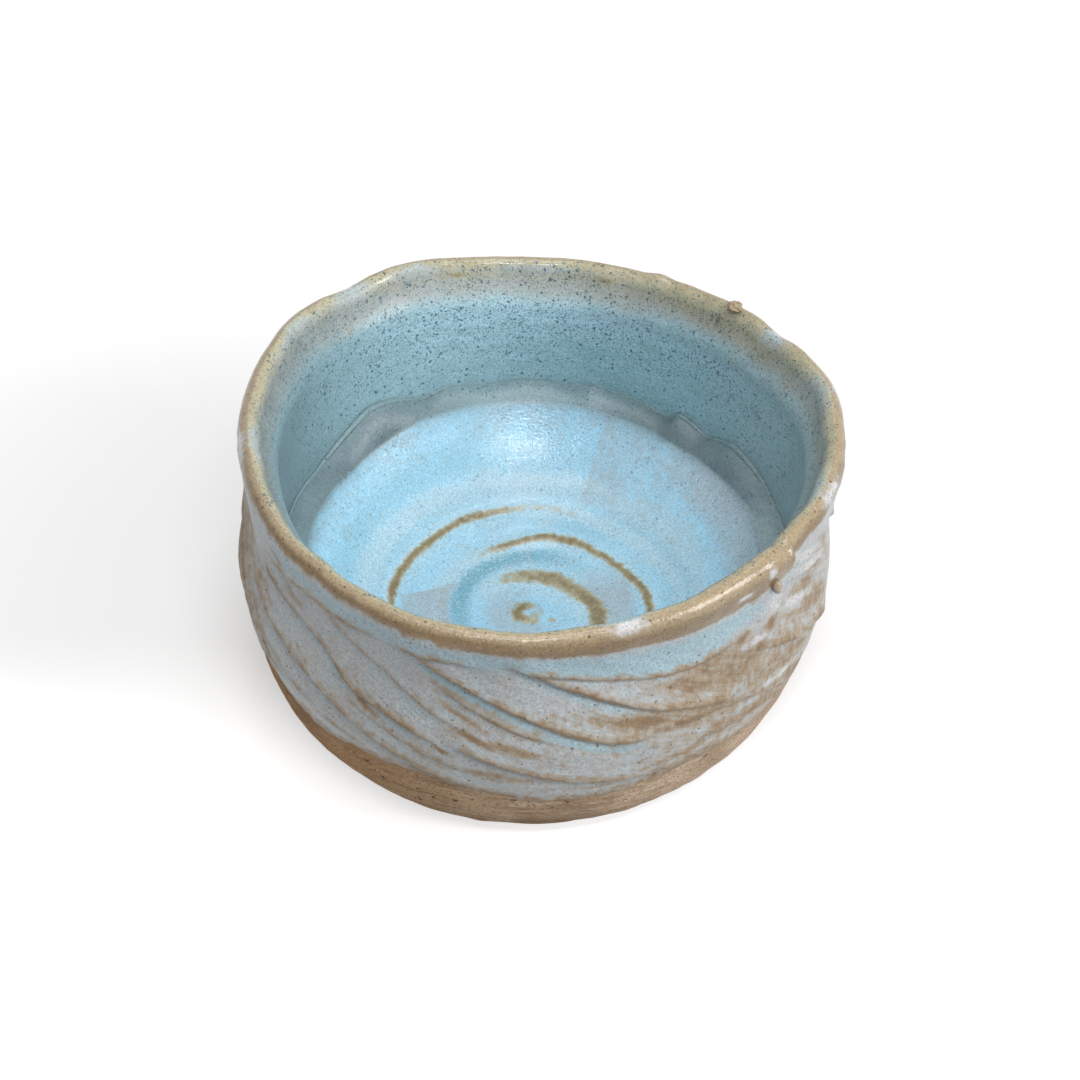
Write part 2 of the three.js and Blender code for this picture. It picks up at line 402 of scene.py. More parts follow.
def looked_up(table, value, column=1, **ends):
    """A value from a table, evenly between its rows, which are set out by their first number."""
    points = np.array(table)
    return np.interp(value, points[:, 0], points[:, column], **ends)


# How far the dish's edge dips where the thumb pressed harder: degrees round the bowl and mm
edge_dips = (
    (-180, -0.4), (-160, -0.8), (-140, -1.8), (-118, -1.2), (-100, -0.2), (-80, 0), (-60, -1.2),
    (-40, -1.8), (-22, -0.8), (-7, -0.2), (8, -0.7), (27, -2.1), (45, -2.7), (63, -1.4), (78, -0.1),
    (90, 0), (120, 0), (131, -1), (146, -2.7), (163, -2.1), (179, -0.4),
)


def round_bowl(table, angle, column=1):
    """A value from a table that is set out by degrees round the bowl."""
    return looked_up(table, np.degrees(angle), column, period=360)


def dish_dip(radius, angle):
    """How far the hand-pressed dish lies below the turned one."""
    return round_bowl(edge_dips, angle) * mm * np.minimum(radius / dish_radius, 1) ** 3


# Small marks of the fingers along the rim: angle and width in degrees, rise and swell in mm
rim_marks = (
    (148, 9, 0.7, 0.3),
    (133, 4, -0.5, -0.2),
    (118, 10, 0.8, 0.2),
    (98, 8, -0.1, 0.0),
    (75, 9, 0.4, 0.0),
    (62, 3, 0.7, 0.2),
    (55, 3, 0.3, 0.0),
    (31, 5, -0.9, -0.3),
    (11, 7, 0.3, 0.5),
    (-20, 8, 0.3, 0.2),
    (-38, 1.5, -0.7, -0.1),
    (-43, 4, 0.8, 0.5),
    (-60, 9, -0.4, 0.0),
    (-128, 10, 0.2, -0.2),
    (178, 8, -0.3, 0.2),
)


def from_angle(angle, degrees):
    """How far an angle lies past this many degrees, the short way round, in degrees."""
    return (np.degrees(angle) - degrees + 180) % 360 - 180


def near_angle(angle, degrees, half_width):
    return hump(from_angle(angle, degrees), 0, half_width)


# The finer unevenness of the pinched lip, all the way round
ring_angles = np.linspace(-math.pi, math.pi, 1441)
ring = np.column_stack([np.cos(ring_angles), np.sin(ring_angles), 0 * ring_angles]) * rim_radius
pinch_rise = 0.16 * mm * ripple(ring, 11 * mm) + 0.05 * mm * ripple(ring, 3.4 * mm)
ring = ring + rim_radius
pinch_swell = 0.15 * mm * ripple(ring, 9 * mm) + 0.05 * mm * ripple(ring, 3 * mm)
lip_outside = rim_radius + coat_over
lip_inside = rim_radius - wall_thickness - coat_over


def hand_shaped(radius, height, angle):
    """Where a point of the turned bowl lies on the hand-shaped one, whose lip is pinched thinner."""
    pinch_up = np.interp(angle, ring_angles, pinch_rise, period=2 * math.pi)
    pinch_out = np.interp(angle, ring_angles, pinch_swell, period=2 * math.pi)
    inward = np.clip((lip_outside - radius) / (lip_outside - lip_inside), 0, 1)
    pinched = lip_taper * inward * (1 - eased(rim_height - height, 0.5 * mm, 9 * mm))
    radius = radius + pinched * (1 + 1.5 * pinch_out / mm)
    share = eased(height, rim_height - turn_under[1], rim_height)
    rise = rim_tilt * np.cos(angle - rim_tilt_angle)
    rise = rise + rim_wave * np.cos(2 * (angle - rim_wave_angle))
    swell = rim_corners * np.cos(3 * (angle - rim_corner_angle))
    near_rim = share**3
    lift = share * rise + near_rim**2 * pinch_up
    bulge = share * swell + near_rim**2 * pinch_out
    for degrees, width, mark_rise, mark_swell in rim_marks:
        finger = near_angle(angle, degrees, width) * near_rim
        lift = lift + finger * mark_rise * mm
        bulge = bulge + finger * mark_swell * mm
    bulge = np.where(radius > 0.01 * mm, bulge, 0)
    return np.column_stack(
        [
            axis_x + lean * height / rim_height + (radius + bulge) * np.cos(angle),
            axis_y + (radius + bulge) * np.sin(angle),
            height + lift,
        ]
    )


# Each cut of the carving knife: its path in degrees and in mm below the rim, how far its edge
# stands up in mm, how brown that edge is, and how much glaze pools above and below it
cuts = (
    (((-95, 5.4), (-82, 10.3), (-70, 14.1), (-64, 15.2), (-58, 15.7), (-47, 15.3)),
     0.5, 0.9, 1.0, 0.0),
    (((-152, 9.4), (-140, 7.3), (-132, 6.6), (-124, 6.6), (-115, 6.4)), 0.5, 1.0, 0.6, 0.0),
    (((-117, 6.4), (-110, 6.5), (-105, 6.2), (-97, 7.4)), 0.4, 0.9, 0.6, 0.0),
    (((-97, 6), (-92, 7.3), (-86, 11.9), (-78, 17), (-69, 22.2), (-60, 25.6), (-52, 27.8), (-47, 26)),
     0.7, 1.0, 0.1, 0.6),
    (((-114, 6.4), (-107, 10), (-99, 15.2), (-91, 20.2), (-82, 25.5), (-75, 28.4), (-66, 29.4)),
     0.6, 0.9, 0.0, 1.0),
    (((-111, 11), (-104, 16.9), (-95, 22.5), (-89, 25.5), (-83, 28.4)), 0.35, 0.7, 0.5, 0.0),
    (((-156, 13), (-147, 14.4), (-136, 15.9), (-130, 18), (-124.5, 22.4), (-116, 25.2), (-104, 30.3)),
     0.6, 1.0, 0.1, 0.5),
    (((-134, 8), (-128, 10), (-122, 12.6), (-116, 15.5), (-111, 19.4), (-106, 22.6), (-100, 24.8)),
     0.3, 0.6, 0.0, 0.4),
    (((-162, 17), (-152, 22.4), (-143, 24.7), (-131, 28.2), (-120, 32.9), (-110, 37.1), (-96, 42.2)),
     0.7, 0.9, 0.1, 0.4),
    (((-107, 27.8), (-99, 30.8), (-89, 34.9), (-81, 37.9), (-70, 39.8), (-60, 40.2), (-45, 42.4)),
     0.6, 1.0, 0.2, 0.2),
    (((-46.5, 20.9), (-40, 23.5), (-32, 27.8), (-26, 29.8), (-19, 33.2), (-10, 36.5)),
     0.7, 1.0, 0.2, 0.3),
    (((-34, 12.4), (-30, 13.4), (-26, 14.9), (-21, 16.4), (-13, 19.4)), 0.6, 0.9, 0.1, 0.3),
    (((-66, 28), (-60, 29.3), (-50, 30.4), (-40, 34.5), (-32, 38.8)), 0.4, 0.6, 0.5, 0.2),
    (((-178, 18), (-164, 27), (-152, 33), (-140, 36.4)), 0.5, 0.7, 0.1, 0.3),
    (((-62, 35.2), (-50, 35.8), (-38, 38.8), (-28, 42)), 0.4, 0.7, 0.4, 0.1),
    (((-128, 24.6), (-119, 28.4), (-109, 32.6), (-97, 36.8)), 0.25, 0.5, 0.2, 0.2),
)
# On the sides out of sight the knife went on in the same way, every few degrees
far_cut_angles = np.arange(-16, 190, 16.4)
shuffle = np.random.default_rng(7)
for begin in far_cut_angles:
    sweep_to = begin + shuffle.uniform(34, 52)
    top = shuffle.uniform(4, 9)
    reach = shuffle.uniform(30, 37)
    turns = np.linspace(begin, sweep_to, 5)
    depths = top + reach * (1 - np.exp(-(turns - begin) / 28))
    cuts += (
        (
            tuple(zip(turns, depths)),
            shuffle.uniform(0.35, 0.65),
            shuffle.uniform(0.5, 0.9),
            shuffle.uniform(0, 0.4),
            shuffle.uniform(0.2, 0.8),
        ),
    )


def carved(angle, depth):
    """Relief, brown edge and pooled glaze that the knife's cuts leave on the wall, and a painted
    shadow line under each cut's edge.
    """
    relief, brown, pooled, dark = np.zeros((4, len(angle)))
    depth = depth / mm
    for path, edge, edge_brown, above, below in cuts:
        line = smooth_line(path)
        first, last = line[0, 0], line[-1, 0]
        middle = (first + last) / 2
        degrees = middle + from_angle(angle, middle)
        near = (degrees > first) & (degrees < last)
        place = degrees[near]
        slope = np.gradient(line[:, 1], line[:, 0] * math.radians(1) * rim_radius / mm)
        steep = np.interp(place, line[:, 0], slope)
        off = (depth[near] - looked_up(line, place)) / np.hypot(1, steep)
        fade = eased(place, first, first + 7) * (1 - eased(place, last - 9, last))
        under = 0.5 + 0.5 * np.tanh(off / 0.32)
        ridge = (1 - under) * np.exp(-np.abs(off) / 2.2) - 0.9 * under * np.exp(-np.abs(off) / 3.2)
        relief[near] += 1.6 * fade * edge * ridge
        edge_line = hump(off, -0.2, np.where(off < -0.2, 1.5, 0.75))
        brown[near] = np.maximum(brown[near], fade * edge_brown * edge_line)
        pool = above * hump(off, -2.6, 1.9) + below * hump(off, 1.7, 1.1)
        pooled[near] = np.maximum(pooled[near], fade * pool)
        # A painted shadow line just under the step of the cut's edge
        dark[near] = np.maximum(dark[near], fade * edge * 0.9 * hump(off, 0.12, 0.28))
    return relief * mm, brown, pooled, np.clip(dark, 0, 1)


def scraped(places):
    """The shallow scrapes that the rib leaves round the bare clay."""
    stretched = places * np.array([0.12, 0.12, 1.0])
    torn = 0.2 * ripple(places, 9 * mm) + 0.16 * ripple(places, 3.4 * mm)
    return mm * (0.2 * ripple(stretched, 1.1 * mm) + torn)


def bare_relief(radius, height, angle):
    """How far the bare outside of the clay stands off its outline."""
    turned_places = np.column_stack([radius * np.cos(angle), radius * np.sin(angle), height])
    return scraped(turned_places) + carved(angle, rim_height - height)[0]


def spread(low, high, steps):
    return [float(value) for value in np.linspace(low, high, steps + 1)]


outline_length = outline_drop[-1]
heel_rows = spread(outline_length, wall_drop, 44)
heel_section = [outside_at(drop)[:2] for drop in heel_rows]
shoulder = inside_at(wall_drop)[:2]
dish_rows = spread(dish_radius, 0, 12)
dish_section = [(radius, dish_at(radius)[0] - hidden_depth) for radius in dish_rows]
underside = [(radius, foot_height) for radius in spread(0, underside_radius, 40)[:-1]]
bm = turned(underside + heel_section + [shoulder] + dish_section, round_steps)
base = finished("base", bm)
places = points_of(base.data)
radii = np.hypot(places[:, 0], places[:, 1])
angles = np.arctan2(places[:, 1], places[:, 0])
heights = places[:, 2].copy()
outer_edge = np.interp(heights, outline[::-1, 1], outline[::-1, 0])
on_outside = (radii > outer_edge - 0.05 * mm) & (heights > foot_height + 0.01 * mm)
radii[on_outside] += bare_relief(radii[on_outside], heights[on_outside], angles[on_outside])
in_dish = (heights > floor_height - hidden_depth - 0.1 * mm) & (radii < dish_radius + 0.1 * mm)
heights[in_dish] += dish_dip(radii[in_dish], angles[in_dish])
below = heights < foot_height + 0.01 * mm
heights[below] += 0.15 * mm * ripple(places[below], 7 * mm) * eased(radii[below], 0, 0.01)
moved(base.data, hand_shaped(radii, heights, angles))
base.data.materials.append(bare_clay)
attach(base, "root")
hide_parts("base_slab")

# Wall strip: one strip of rolled buff clay, bent round and lapped at a slanted seam, then carved
# outside with a knife. Only its lowest band, under the edge of the glaze, is bare.
seam_angle = -0.73
scarf_angle = 0.14
hair_gap = 0.02 * mm

# The lower edge of the outer glaze: degrees round the bowl and mm down the outline
glaze_edge = (
    (-180, 37.6), (-160, 38.2), (-150, 38.4), (-140, 39.8), (-130, 39.9), (-123, 39.2),
    (-112, 38.6), (-108, 39.8), (-103, 41), (-96, 41.9), (-92, 42.8), (-87, 43.2), (-82, 43.2),
    (-71, 42.6), (-61, 42), (-52, 41.9), (-45, 42.4), (-36, 42.8), (-26, 41.4), (-12, 40.2),
    (0, 38.8), (20, 39.8), (45, 38.4), (70, 37.8), (95, 39), (120, 40.1), (150, 38.6),
)


def glaze_edge_at(angle):
    """How far down the outline the ragged edge of the outer glaze lies."""
    round_rim = np.column_stack([np.cos(angle), np.sin(angle), np.zeros_like(angle)]) * rim_radius
    ragged = 0.7 * ripple(round_rim, 6 * mm) + 0.55 * ripple(round_rim, 1.7 * mm)
    return mm * (round_bowl(glaze_edge, angle) + ragged)


outside_rows = spread(wall_drop, 33 * mm, 27) + spread(33 * mm, 0, 8)[1:]
outside_section = [outside_at(drop)[:2] for drop in outside_rows]
lip_middle = rim_radius - lip_round


def lip_at(turn):
    """Radius, height and normal of the clay's lip, by the turn from its outside over its crest."""
    across, up = np.cos(turn), np.sin(turn)
    return lip_middle + lip_round * across, rim_height - lip_round + lip_round * up, across, up


def laid_out(mesh):
    """The places of a turned mesh's vertices, their angles round the axis, and their two rows."""
    places = points_of(mesh)
    rows = np.empty(len(places))
    mesh.attributes["row"].data.foreach_get("value", rows)
    under = np.empty(len(places))
    mesh.attributes["under"].data.foreach_get("value", under)
    return places, np.arctan2(places[:, 1], places[:, 0]), rows, under


lip_turns = spread(0, math.pi, 8)[1:-1]
lip_section = [lip_at(turn)[:2] for turn in lip_turns]
inside_section = [inside_at(drop)[:2] for drop in spread(0, wall_drop, 8)]
strip_rows = (
    [(drop / wall_drop, 0) for drop in outside_rows]
    + [(0, turn / math.pi) for turn in lip_turns]
    + [(0, 1) for drop in inside_section]
)
slit = hair_gap / rim_radius
bm = turned(
    outside_section + lip_section + inside_section, round_steps, rows=strip_rows,
    sweep=2 * math.pi - slit, start=seam_angle + slit / 2,
)
strip = finished("strip", bm)
places, angles, rows, twist = laid_out(strip.data)
radii = np.hypot(places[:, 0], places[:, 1])
heights = places[:, 2].copy()
under_glaze = glaze_edge_at(angles) - rows * wall_drop
sunk = hidden_depth * eased(under_glaze, 1.5 * mm, 7 * mm)
outer = twist == 0
radii[outer] += bare_relief(radii[outer], heights[outer], angles[outer])
inward = np.where(twist > 0.99, 1, np.where(outer, -1, 0))
radii += inward * sunk
heights -= np.where(inward == 0, hidden_depth, 0)
moved(strip.data, hand_shaped(radii, heights, angles - scarf_angle * twist))
strip.data.materials.append(bare_clay)
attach(strip, "root")
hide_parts("wall_strip")

# Corner coil: a coil of buff clay smeared by thumb into the corner between wall and base. Its
# upper edge is left torn, and the poured glaze covers all of it.
coil_reach = 28 * mm
coil_lip = 3.0 * mm
coil_toe = 1.5 * mm
crease_height = float(dish_at(dish_radius)[0])

# The torn edge: degrees round the bowl, mm below the rim, and how far it stands off the wall
torn_edge = (
    (-180, 32, 0.9), (-172, 30.2, 1.0), (-165, 32.4, 0.9), (-150, 31, 1.0), (-138, 29, 1.1),
    (-131, 31.6, 0.9), (-118, 30, 0.8), (-104, 31, 0.6), (-90, 30, 0.6), (-76, 31.2, 0.8),
    (-60, 29.2, 1.1), (-52, 31.6, 1.0), (-38, 30, 1.1), (-24, 32, 1.0), (-10, 31, 1.1),
    (2, 33, 1.0), (11, 33.2, 1.1), (17, 32, 1.2), (22, 31, 1.3), (28, 30, 1.4), (33, 29.4, 1.5),
    (37, 31, 1.3), (43, 33.3, 1.0), (47, 31.6, 1.2), (51, 30.3, 1.3), (55, 33.6, 0.9), (62, 31.8, 0.6),
    (71, 30.7, 0.45), (75, 29.4, 0.45), (80, 31.4, 0.4), (86, 30, 0.35), (93, 29.4, 0.35),
    (102, 30.7, 0.4), (108, 29.8, 0.5), (113, 29.6, 0.6), (118, 31.2, 0.9), (122, 30, 1.2),
    (126, 28.2, 1.4), (131, 27, 1.5), (135, 26.8, 1.5), (143, 30, 1.4), (149, 32, 1.3),
    (155, 33.2, 1.2), (165, 32.4, 1.0),
)
wall_lean = 2.2 * mm


def torn_at(angle):
    """Depth of the coil's torn edge below the rim, and how far it stands off the wall."""
    lowest = rim_height - crease_height - dish_dip(dish_radius, angle) - 0.9 * mm
    depth = np.minimum(round_bowl(torn_edge, angle) * mm, lowest)
    return depth, 0.75 * round_bowl(torn_edge, angle, column=2) * mm


def smeared_wall(drop):
    """The wall's inside, which leans in lower down where the coil's clay was smeared up over it."""
    radius, height, normal_r, normal_z = inside_at(drop)
    return radius - wall_lean * eased(drop, 8 * mm, 28 * mm), height, normal_r, normal_z


coil_rows = [(0, 0), (0.25, 0), (0.5, 0), (0.75, 0), (1, 0), (1, 1), (0.75, 1), (0.4, 1), (0, 1)]
top_r, top_z = inside_at(coil_reach)[:2]
toe_r, toe_z = inside_at(wall_drop - coil_toe)[:2]
coil_section = []
for share, wallward in coil_rows:
    face_r = dish_radius + share * (top_r - coil_lip - dish_radius)
    face = (face_r, crease_height + share * (top_z - crease_height))
    back = (toe_r + share * (top_r - toe_r), toe_z + share * (top_z - toe_z))
    coil_section.append(back if wallward else face)
bm = turned(coil_section, 240, rows=coil_rows)
coil = finished("coil", bm)
places, angles, rows, wallward = laid_out(coil.data)
on_back = wallward > 0.5
radii = np.hypot(places[:, 0], places[:, 1])
heights = places[:, 2] + rows * (rim_height - torn_at(angles)[0] - top_z)
heights += np.where(on_back, 0, 1 - rows) * dish_dip(dish_radius, angles)
heights -= hidden_depth * np.where(on_back, 0.2, 1)
radii += np.where(on_back, -0.6, 0.9) * hidden_depth
radii += 0.3 * mm * ripple(places, 5 * mm)
moved(coil.data, hand_shaped(radii, heights, angles))
coil.data.materials.append(bare_clay)
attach(coil, "root")
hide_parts("corner_coil")

# Poured glaze: a glassy coat swilled round the inside, pale blue where it lies thin over the
# dish, teal where it pools, and brown where it breaks over the lip and the finger's spiral.
coat_depth = 1.3 * mm

# The finger's spiral on the floor, clockwise from above: degrees run, radius in mm, how brown
# its ridge is and how wide in mm
spiral_start = 115
spiral = (
    (-60, 9.5, 0.0, 1.2), (-25, 11.2, 0.1, 1.3), (0, 11.4, 0.6, 1.8), (40, 11.3, 0.95, 2.2),
    (84, 12.2, 1.0, 2.4), (122, 15.4, 1.0, 2.1), (205, 17.6, 0.8, 1.4), (280, 19.2, 0.3, 1.1),
    (330, 19.5, 0.16, 1.1), (352, 19.6, 0.3, 1.0), (372, 20.3, 0.85, 1.0), (401, 22.3, 1.0, 1.05),
    (428, 22.8, 1.0, 1.0), (452, 23.9, 1.0, 1.0), (480, 26.4, 1.0, 1.0), (565, 28.6, 0.9, 1.0),
    (640, 30.2, 1.0, 0.95), (680, 28.9, 1.0, 0.95), (704, 28.7, 1.0, 0.9), (728, 28.7, 0.85, 0.85),
    (752, 29.1, 0.4, 0.8), (782, 29.3, 0.14, 0.8), (818, 31.2, 0.1, 0.9), (836, 32.6, 0.08, 1.0),
    (920, 34.6, 0.03, 1.1), (1030, 35.3, 0.0, 1.3), (1080, 34.2, 0.0, 1.3), (1130, 34.4, 0.0, 1.3),
    (1190, 36, 0.0, 1.5), (1300, 39, 0.0, 1.6),
)
spiral_middle = (-0.7 * mm, -0.6 * mm)
nowhere_near = 99


def fingered(x, y):
    """Relief, brown and paleness of the spiral that a finger left on the floor of the dish."""
    line = smooth_line(spiral, 8)
    x = x - spiral_middle[0]
    y = y - spiral_middle[1]
    radius = np.hypot(x, y) / mm
    run = (spiral_start - np.degrees(np.arctan2(y, x))) % 360
    flat = np.column_stack([x, y, np.zeros_like(x)])
    wander = 0.35 * ripple(flat, 3.4 * mm) + 0.3 * ripple(flat, 1.2 * mm)
    ridge, brown, pale = np.zeros((3, len(radius)))
    for turn in range(-1, 4):
        t = run + 360 * turn
        here_too = (t >= line[0, 0]) & (t <= line[-1, 0])
        middle, strength, width = (looked_up(line, t, i) for i in (1, 2, 3))
        ends = eased(t, line[0, 0], line[0, 0] + 40) * (1 - eased(t, line[-1, 0] - 150, line[-1, 0]))
        off = np.where(here_too, radius - middle + wander, nowhere_near)
        raised = ends * (0.3 + 0.7 * strength)
        ridge = np.maximum(ridge, raised * hump(off, 0, 1.5 * width))
        brown = np.maximum(brown, strength * np.exp(-(np.abs(off / width) ** 3)))
        pale = np.maximum(pale, ends * hump(off, 0, 2.2 * width))
    curl = hump(radius + wander, 2.1, 1.7) * (0.8 + 0.35 * np.cos(np.radians(run) + 1.0))
    tail = hump(x / mm, 5.2, 1.2) * hump(y / mm, -2.0, 1.3)
    brown = np.maximum(brown, np.maximum(curl, 0.7 * tail))
    ridge = np.maximum(ridge, np.exp(-((radius / 3) ** 4)))
    return ridge, brown, pale


inner_steps = 480
# A row is the number of its zone and a share of this span, so that a zone's last row stays in it
row_span = 0.999
middle_row = 4 + row_span
lip_shares = np.concatenate([[0, 0.012, 0.03], np.linspace(0.06, 1, 10)])
zones = (
    (0, lip_shares),
    (1, np.linspace(0, 1, 52)[1:]),
    (2, np.linspace(0, 1, 7)[1:]),
    (3, np.linspace(0, 1, 13)[1:]),
    (4, np.linspace(0, 1, 104)[1:]),
)
over_rows = [(zone + share * row_span, 0) for zone, shares in zones for share in shares]
under_rows = [(row, 1) for row in (4.7, 4.4, 4.2, 4.0, 3.7, 3.3, 2.9, 1.9, 1.6, 1.3, 1.0, 0.5)]
inner_rows = over_rows + [(middle_row, 1)] + under_rows


def inner_clay(row, angle):
    """Radius, height and normal of the clay's inside, by row from the crest to the middle."""
    zone = np.floor(row).astype(int)
    share = (row - zone) / row_span
    lip = lip_at(math.pi / 2 * (1 + share))
    torn_depth, torn_stand = torn_at(angle)
    torn_drop = torn_depth - lip_round
    wall = smeared_wall(share * torn_drop)
    edge = smeared_wall(torn_drop)
    stood = torn_stand * eased(share, 0, 0.8)
    sunk_edge = 0.6 * mm * share**1.5
    torn = (edge[0] - stood, edge[1] - sunk_edge, edge[2], edge[3] + 0.8 * np.sin(math.pi * share))
    coil_top = (edge[0] - torn_stand, edge[1] - 0.6 * mm)
    crease_z = crease_height + dish_dip(dish_radius, angle)
    bulge = 0.4 * mm * np.sin(math.pi * share)
    fall = np.hypot(coil_top[0] - dish_radius, coil_top[1] - crease_z)
    face_r = (coil_top[1] - crease_z) / fall
    face_z = (coil_top[0] - dish_radius) / fall
    coil = (
        coil_top[0] + share * (dish_radius - coil_top[0]) - bulge * face_r,
        coil_top[1] + share * (crease_z - coil_top[1]) + bulge * face_z,
        -face_r,
        face_z,
    )
    dish_r = np.maximum(dish_radius * (1 - share), 0)
    dish_z, dish_nr, dish_nz = dish_at(dish_r)
    dish = (dish_r, dish_z + dish_dip(dish_r, angle), dish_nr, dish_nz)
    picks = [zone == number for number in range(4)]
    radius, height, normal_r, normal_z = (
        np.select(picks, choices[:4], choices[4]) for choices in zip(lip, wall, torn, coil, dish)
    )
    length = np.hypot(normal_r, normal_z)
    return radius, height, normal_r / length, normal_z / length


def at_middle(row):
    return row > middle_row - 0.0005


def coat_section(clay_at, rows):
    """The closed section of a coat: over the clay from the lip on, and back under itself. It is
    taken at any one angle, because the turned coat is laid on the clay afterwards."""
    row, under = np.array(rows).T
    radius, height, normal_r, normal_z = clay_at(row, np.full(len(rows), 0.5))
    off = np.where(under > 0.5, coat_over - coat_depth, coat_over)
    radius = np.where(at_middle(row), 0, radius + off * normal_r)
    return [(max(r, 0), z) for r, z in zip(radius, height + off * normal_z)]


bm = turned(coat_section(inner_clay, inner_rows), inner_steps, rows=inner_rows)
poured = finished("poured_coat", bm)
places, angles, rows, under = laid_out(poured.data)
radii, heights, normal_r, normal_z = inner_clay(rows, angles)
depths = rim_height - heights
on_dish = rows >= 4
x = radii * np.cos(angles)
y = radii * np.sin(angles)
ridge, brown, pale = fingered(x, y)
dish_share = np.where(on_dish, 1 - eased(radii, 38 * mm, 46 * mm), 0)
around = np.column_stack([x, y, heights])
soft_lumps = ripple(around, 11 * mm)
waves = np.sin(depths / (5.2 * mm) + 0.7 * soft_lumps) * eased(depths, 4 * mm, 10 * mm)
relief = dish_share * (0.5 * ridge - 0.2) * mm
under_lip = 0.2 * hump(depths / mm, 9, 2.4) - 0.15 * hump(depths / mm, 4.8, 1.7)
relief += np.where(on_dish, 0, 0.12 * waves + under_lip) * mm
relief += 0.1 * mm * soft_lumps + 0.012 * mm * ripple(around, 3 * mm)
film = np.where(under > 0.5, coat_over - coat_depth, coat_over + relief * eased(rows, 0, 1.2))
radii = np.where(at_middle(rows), 0, radii + film * normal_r)
heights = heights + film * normal_z
moved(poured.data, hand_shaped(radii, heights, angles))


def painted(mesh, **looks):
    """Values at every vertex, for the material to read by name."""
    for name, values in looks.items():
        attribute = mesh.attributes.new(name, "FLOAT", "POINT")
        attribute.data.foreach_set("value", np.ascontiguousarray(values, dtype=np.float32))


# How the glaze lies down the inside wall: mm below the rim, then brown, grey, pale blue and specks.
# The pale blue band some 9 mm down lies on the bulge under the lip, and is partly painted light where
# the bulge faces the lamps
wall_bands = (
    (0, 0.75, 0.6, 0.0, 0.4), (0.5, 0.62, 0.8, 0.0, 0.5), (1.3, 0.5, 0.95, 0.0, 0.6),
    (2.6, 0.4, 1.0, 0.0, 0.75), (4, 0.28, 0.95, 0.05, 0.85), (5.5, 0.16, 0.75, 0.15, 0.85),
    (7, 0.05, 0.4, 0.45, 0.7), (9, 0.0, 0.15, 0.65, 0.85), (11, 0.0, 0.05, 0.65, 1.0),
    (14, 0.0, 0.0, 0.45, 1.0), (18, 0.0, 0.0, 0.25, 0.9), (22, 0.0, 0.0, 0.15, 0.65),
    (26, 0.0, 0.0, 0.15, 0.4), (36, 0.0, 0.0, 0.0, 0.2),
)
depth_mm = depths / mm + 0.9 * soft_lumps * eased(depths, 1 * mm, 5 * mm)
wall_brown, wall_grey, wall_pale, wall_speck = (
    looked_up(wall_bands, depth_mm, column) for column in range(1, 5)
)
# Faint rings round the wall, paler and darker by turns
ring_pitch = 5.3
rings = np.sin(2 * math.pi * (depth_mm + 1.5 * soft_lumps) / ring_pitch) * eased(depth_mm, 9, 12)
wall_pale = wall_pale + 0.14 * rings

# What a patch is where its table leaves out the slope and the strength
plain_patch = (0, 0, 1, 1, 0, 1)


def patched(table, angle, depth_mm):
    """The strongest of a table's soft patches at each place on the wall. A patch is given by its
    degrees round the bowl, mm below the rim, half width and half height in mm, and may go on with
    its slope and its strength."""
    strongest = np.zeros_like(angle)
    for given in table:
        degrees, down, wide, high, slope, strength = given + plain_patch[len(given):]
        along = np.radians(from_angle(angle, degrees)) * rim_radius / mm
        patch = hump(along, 0, wide) * hump(depth_mm - slope * along, down, high)
        strongest = np.maximum(strongest, strength * patch)
    return strongest


# Brown runs of thin glaze under the rim
brown_runs = (
    (137, 6.4, 0.5, 1.8), (45, 2.6, 0.9, 1.9), (20, 5.5, 0.4, 2.0), (38, 9, 0.5, 1.0),
    (31, 3.4, 0.6, 1.6), (-150, 5, 0.6, 2.0), (-75, 4, 0.5, 2.2), (-20, 6, 0.6, 1.6),
    (74, 1.8, 4, 0.8), (108, 2.0, 3, 0.7),
)
wall_brown = np.maximum(wall_brown, 0.9 * patched(brown_runs, angles, depths / mm))
# Pale gaps where thicker glaze crosses the lip
pale_gaps = (
    (133, 0.6, 5, 1.6), (118, 1.0, 5, 1.0), (152, 0.9, 7, 1.0), (10, 1.2, 7, 1.4),
    (-74, 0.2, 5, 1.2), (-49, 3.6, 2.2, 1.0), (-43.5, 2.0, 1.4, 0.9), (-20, 0.8, 6, 1.0),
    (90, 1.2, 9, 0.6), (-170, 0.8, 6, 1.0), (30, 0.4, 4, 1.2),
)
# The coat is thinner under the rim at the back right, and greyer down the right side
wall_brown = wall_brown + 0.3 * near_angle(angles, 42, 24) * hump(depth_mm, 4, 3.4)
wall_grey = np.maximum(wall_grey, 0.5 * eased(np.cos(angles), 0.45, 1.0))
gap = patched(pale_gaps, angles, depths / mm)
wall_brown = wall_brown * (1 - 0.75 * gap)
wall_pale = np.maximum(wall_pale, 0.8 * gap)
radius_mm = np.hypot(x, y) / mm
degrees = np.degrees(angles)
# The dish is greyer in places: from a sharp edge at the back round to the right, in a wash at the
# left, beside and inside the brown ring, and along the dish's edge
past_grey_edge = from_angle(angles, 70)
dish_greyness = (1 - eased(past_grey_edge, -0.9, 0.9)) * eased(from_angle(angles, -25), -5, 5)
dish_greyness *= (0.24 + 0.34 * np.exp(np.minimum(past_grey_edge, 0) / 20)) * eased(radius_mm, 29, 32)
front_left = np.interp(degrees, (128, 131, 156, 169, 180), (0, 14.1, 18.5, 22.7, 28.5))
front_left = np.where(degrees < -120, 28.5, front_left)
wash = eased(front_left - radius_mm, -0.4, 0.4) * eased(radius_mm, 17, 19)
dish_greyness = np.maximum(dish_greyness, 0.75 * wash)
past_ring = eased(radius_mm, 12.5, 14.5) * (1 - eased(radius_mm, 21, 24))
dish_greyness = np.maximum(dish_greyness, 0.85 * past_ring * near_angle(angles, 5, 38))
inside_ring = np.exp(-(((radius_mm - 6.5) / 4.4) ** 4)) * (0.55 - 0.45 * np.cos(angles - 0.6))
dish_greyness = np.maximum(dish_greyness, 0.7 * inside_ring)
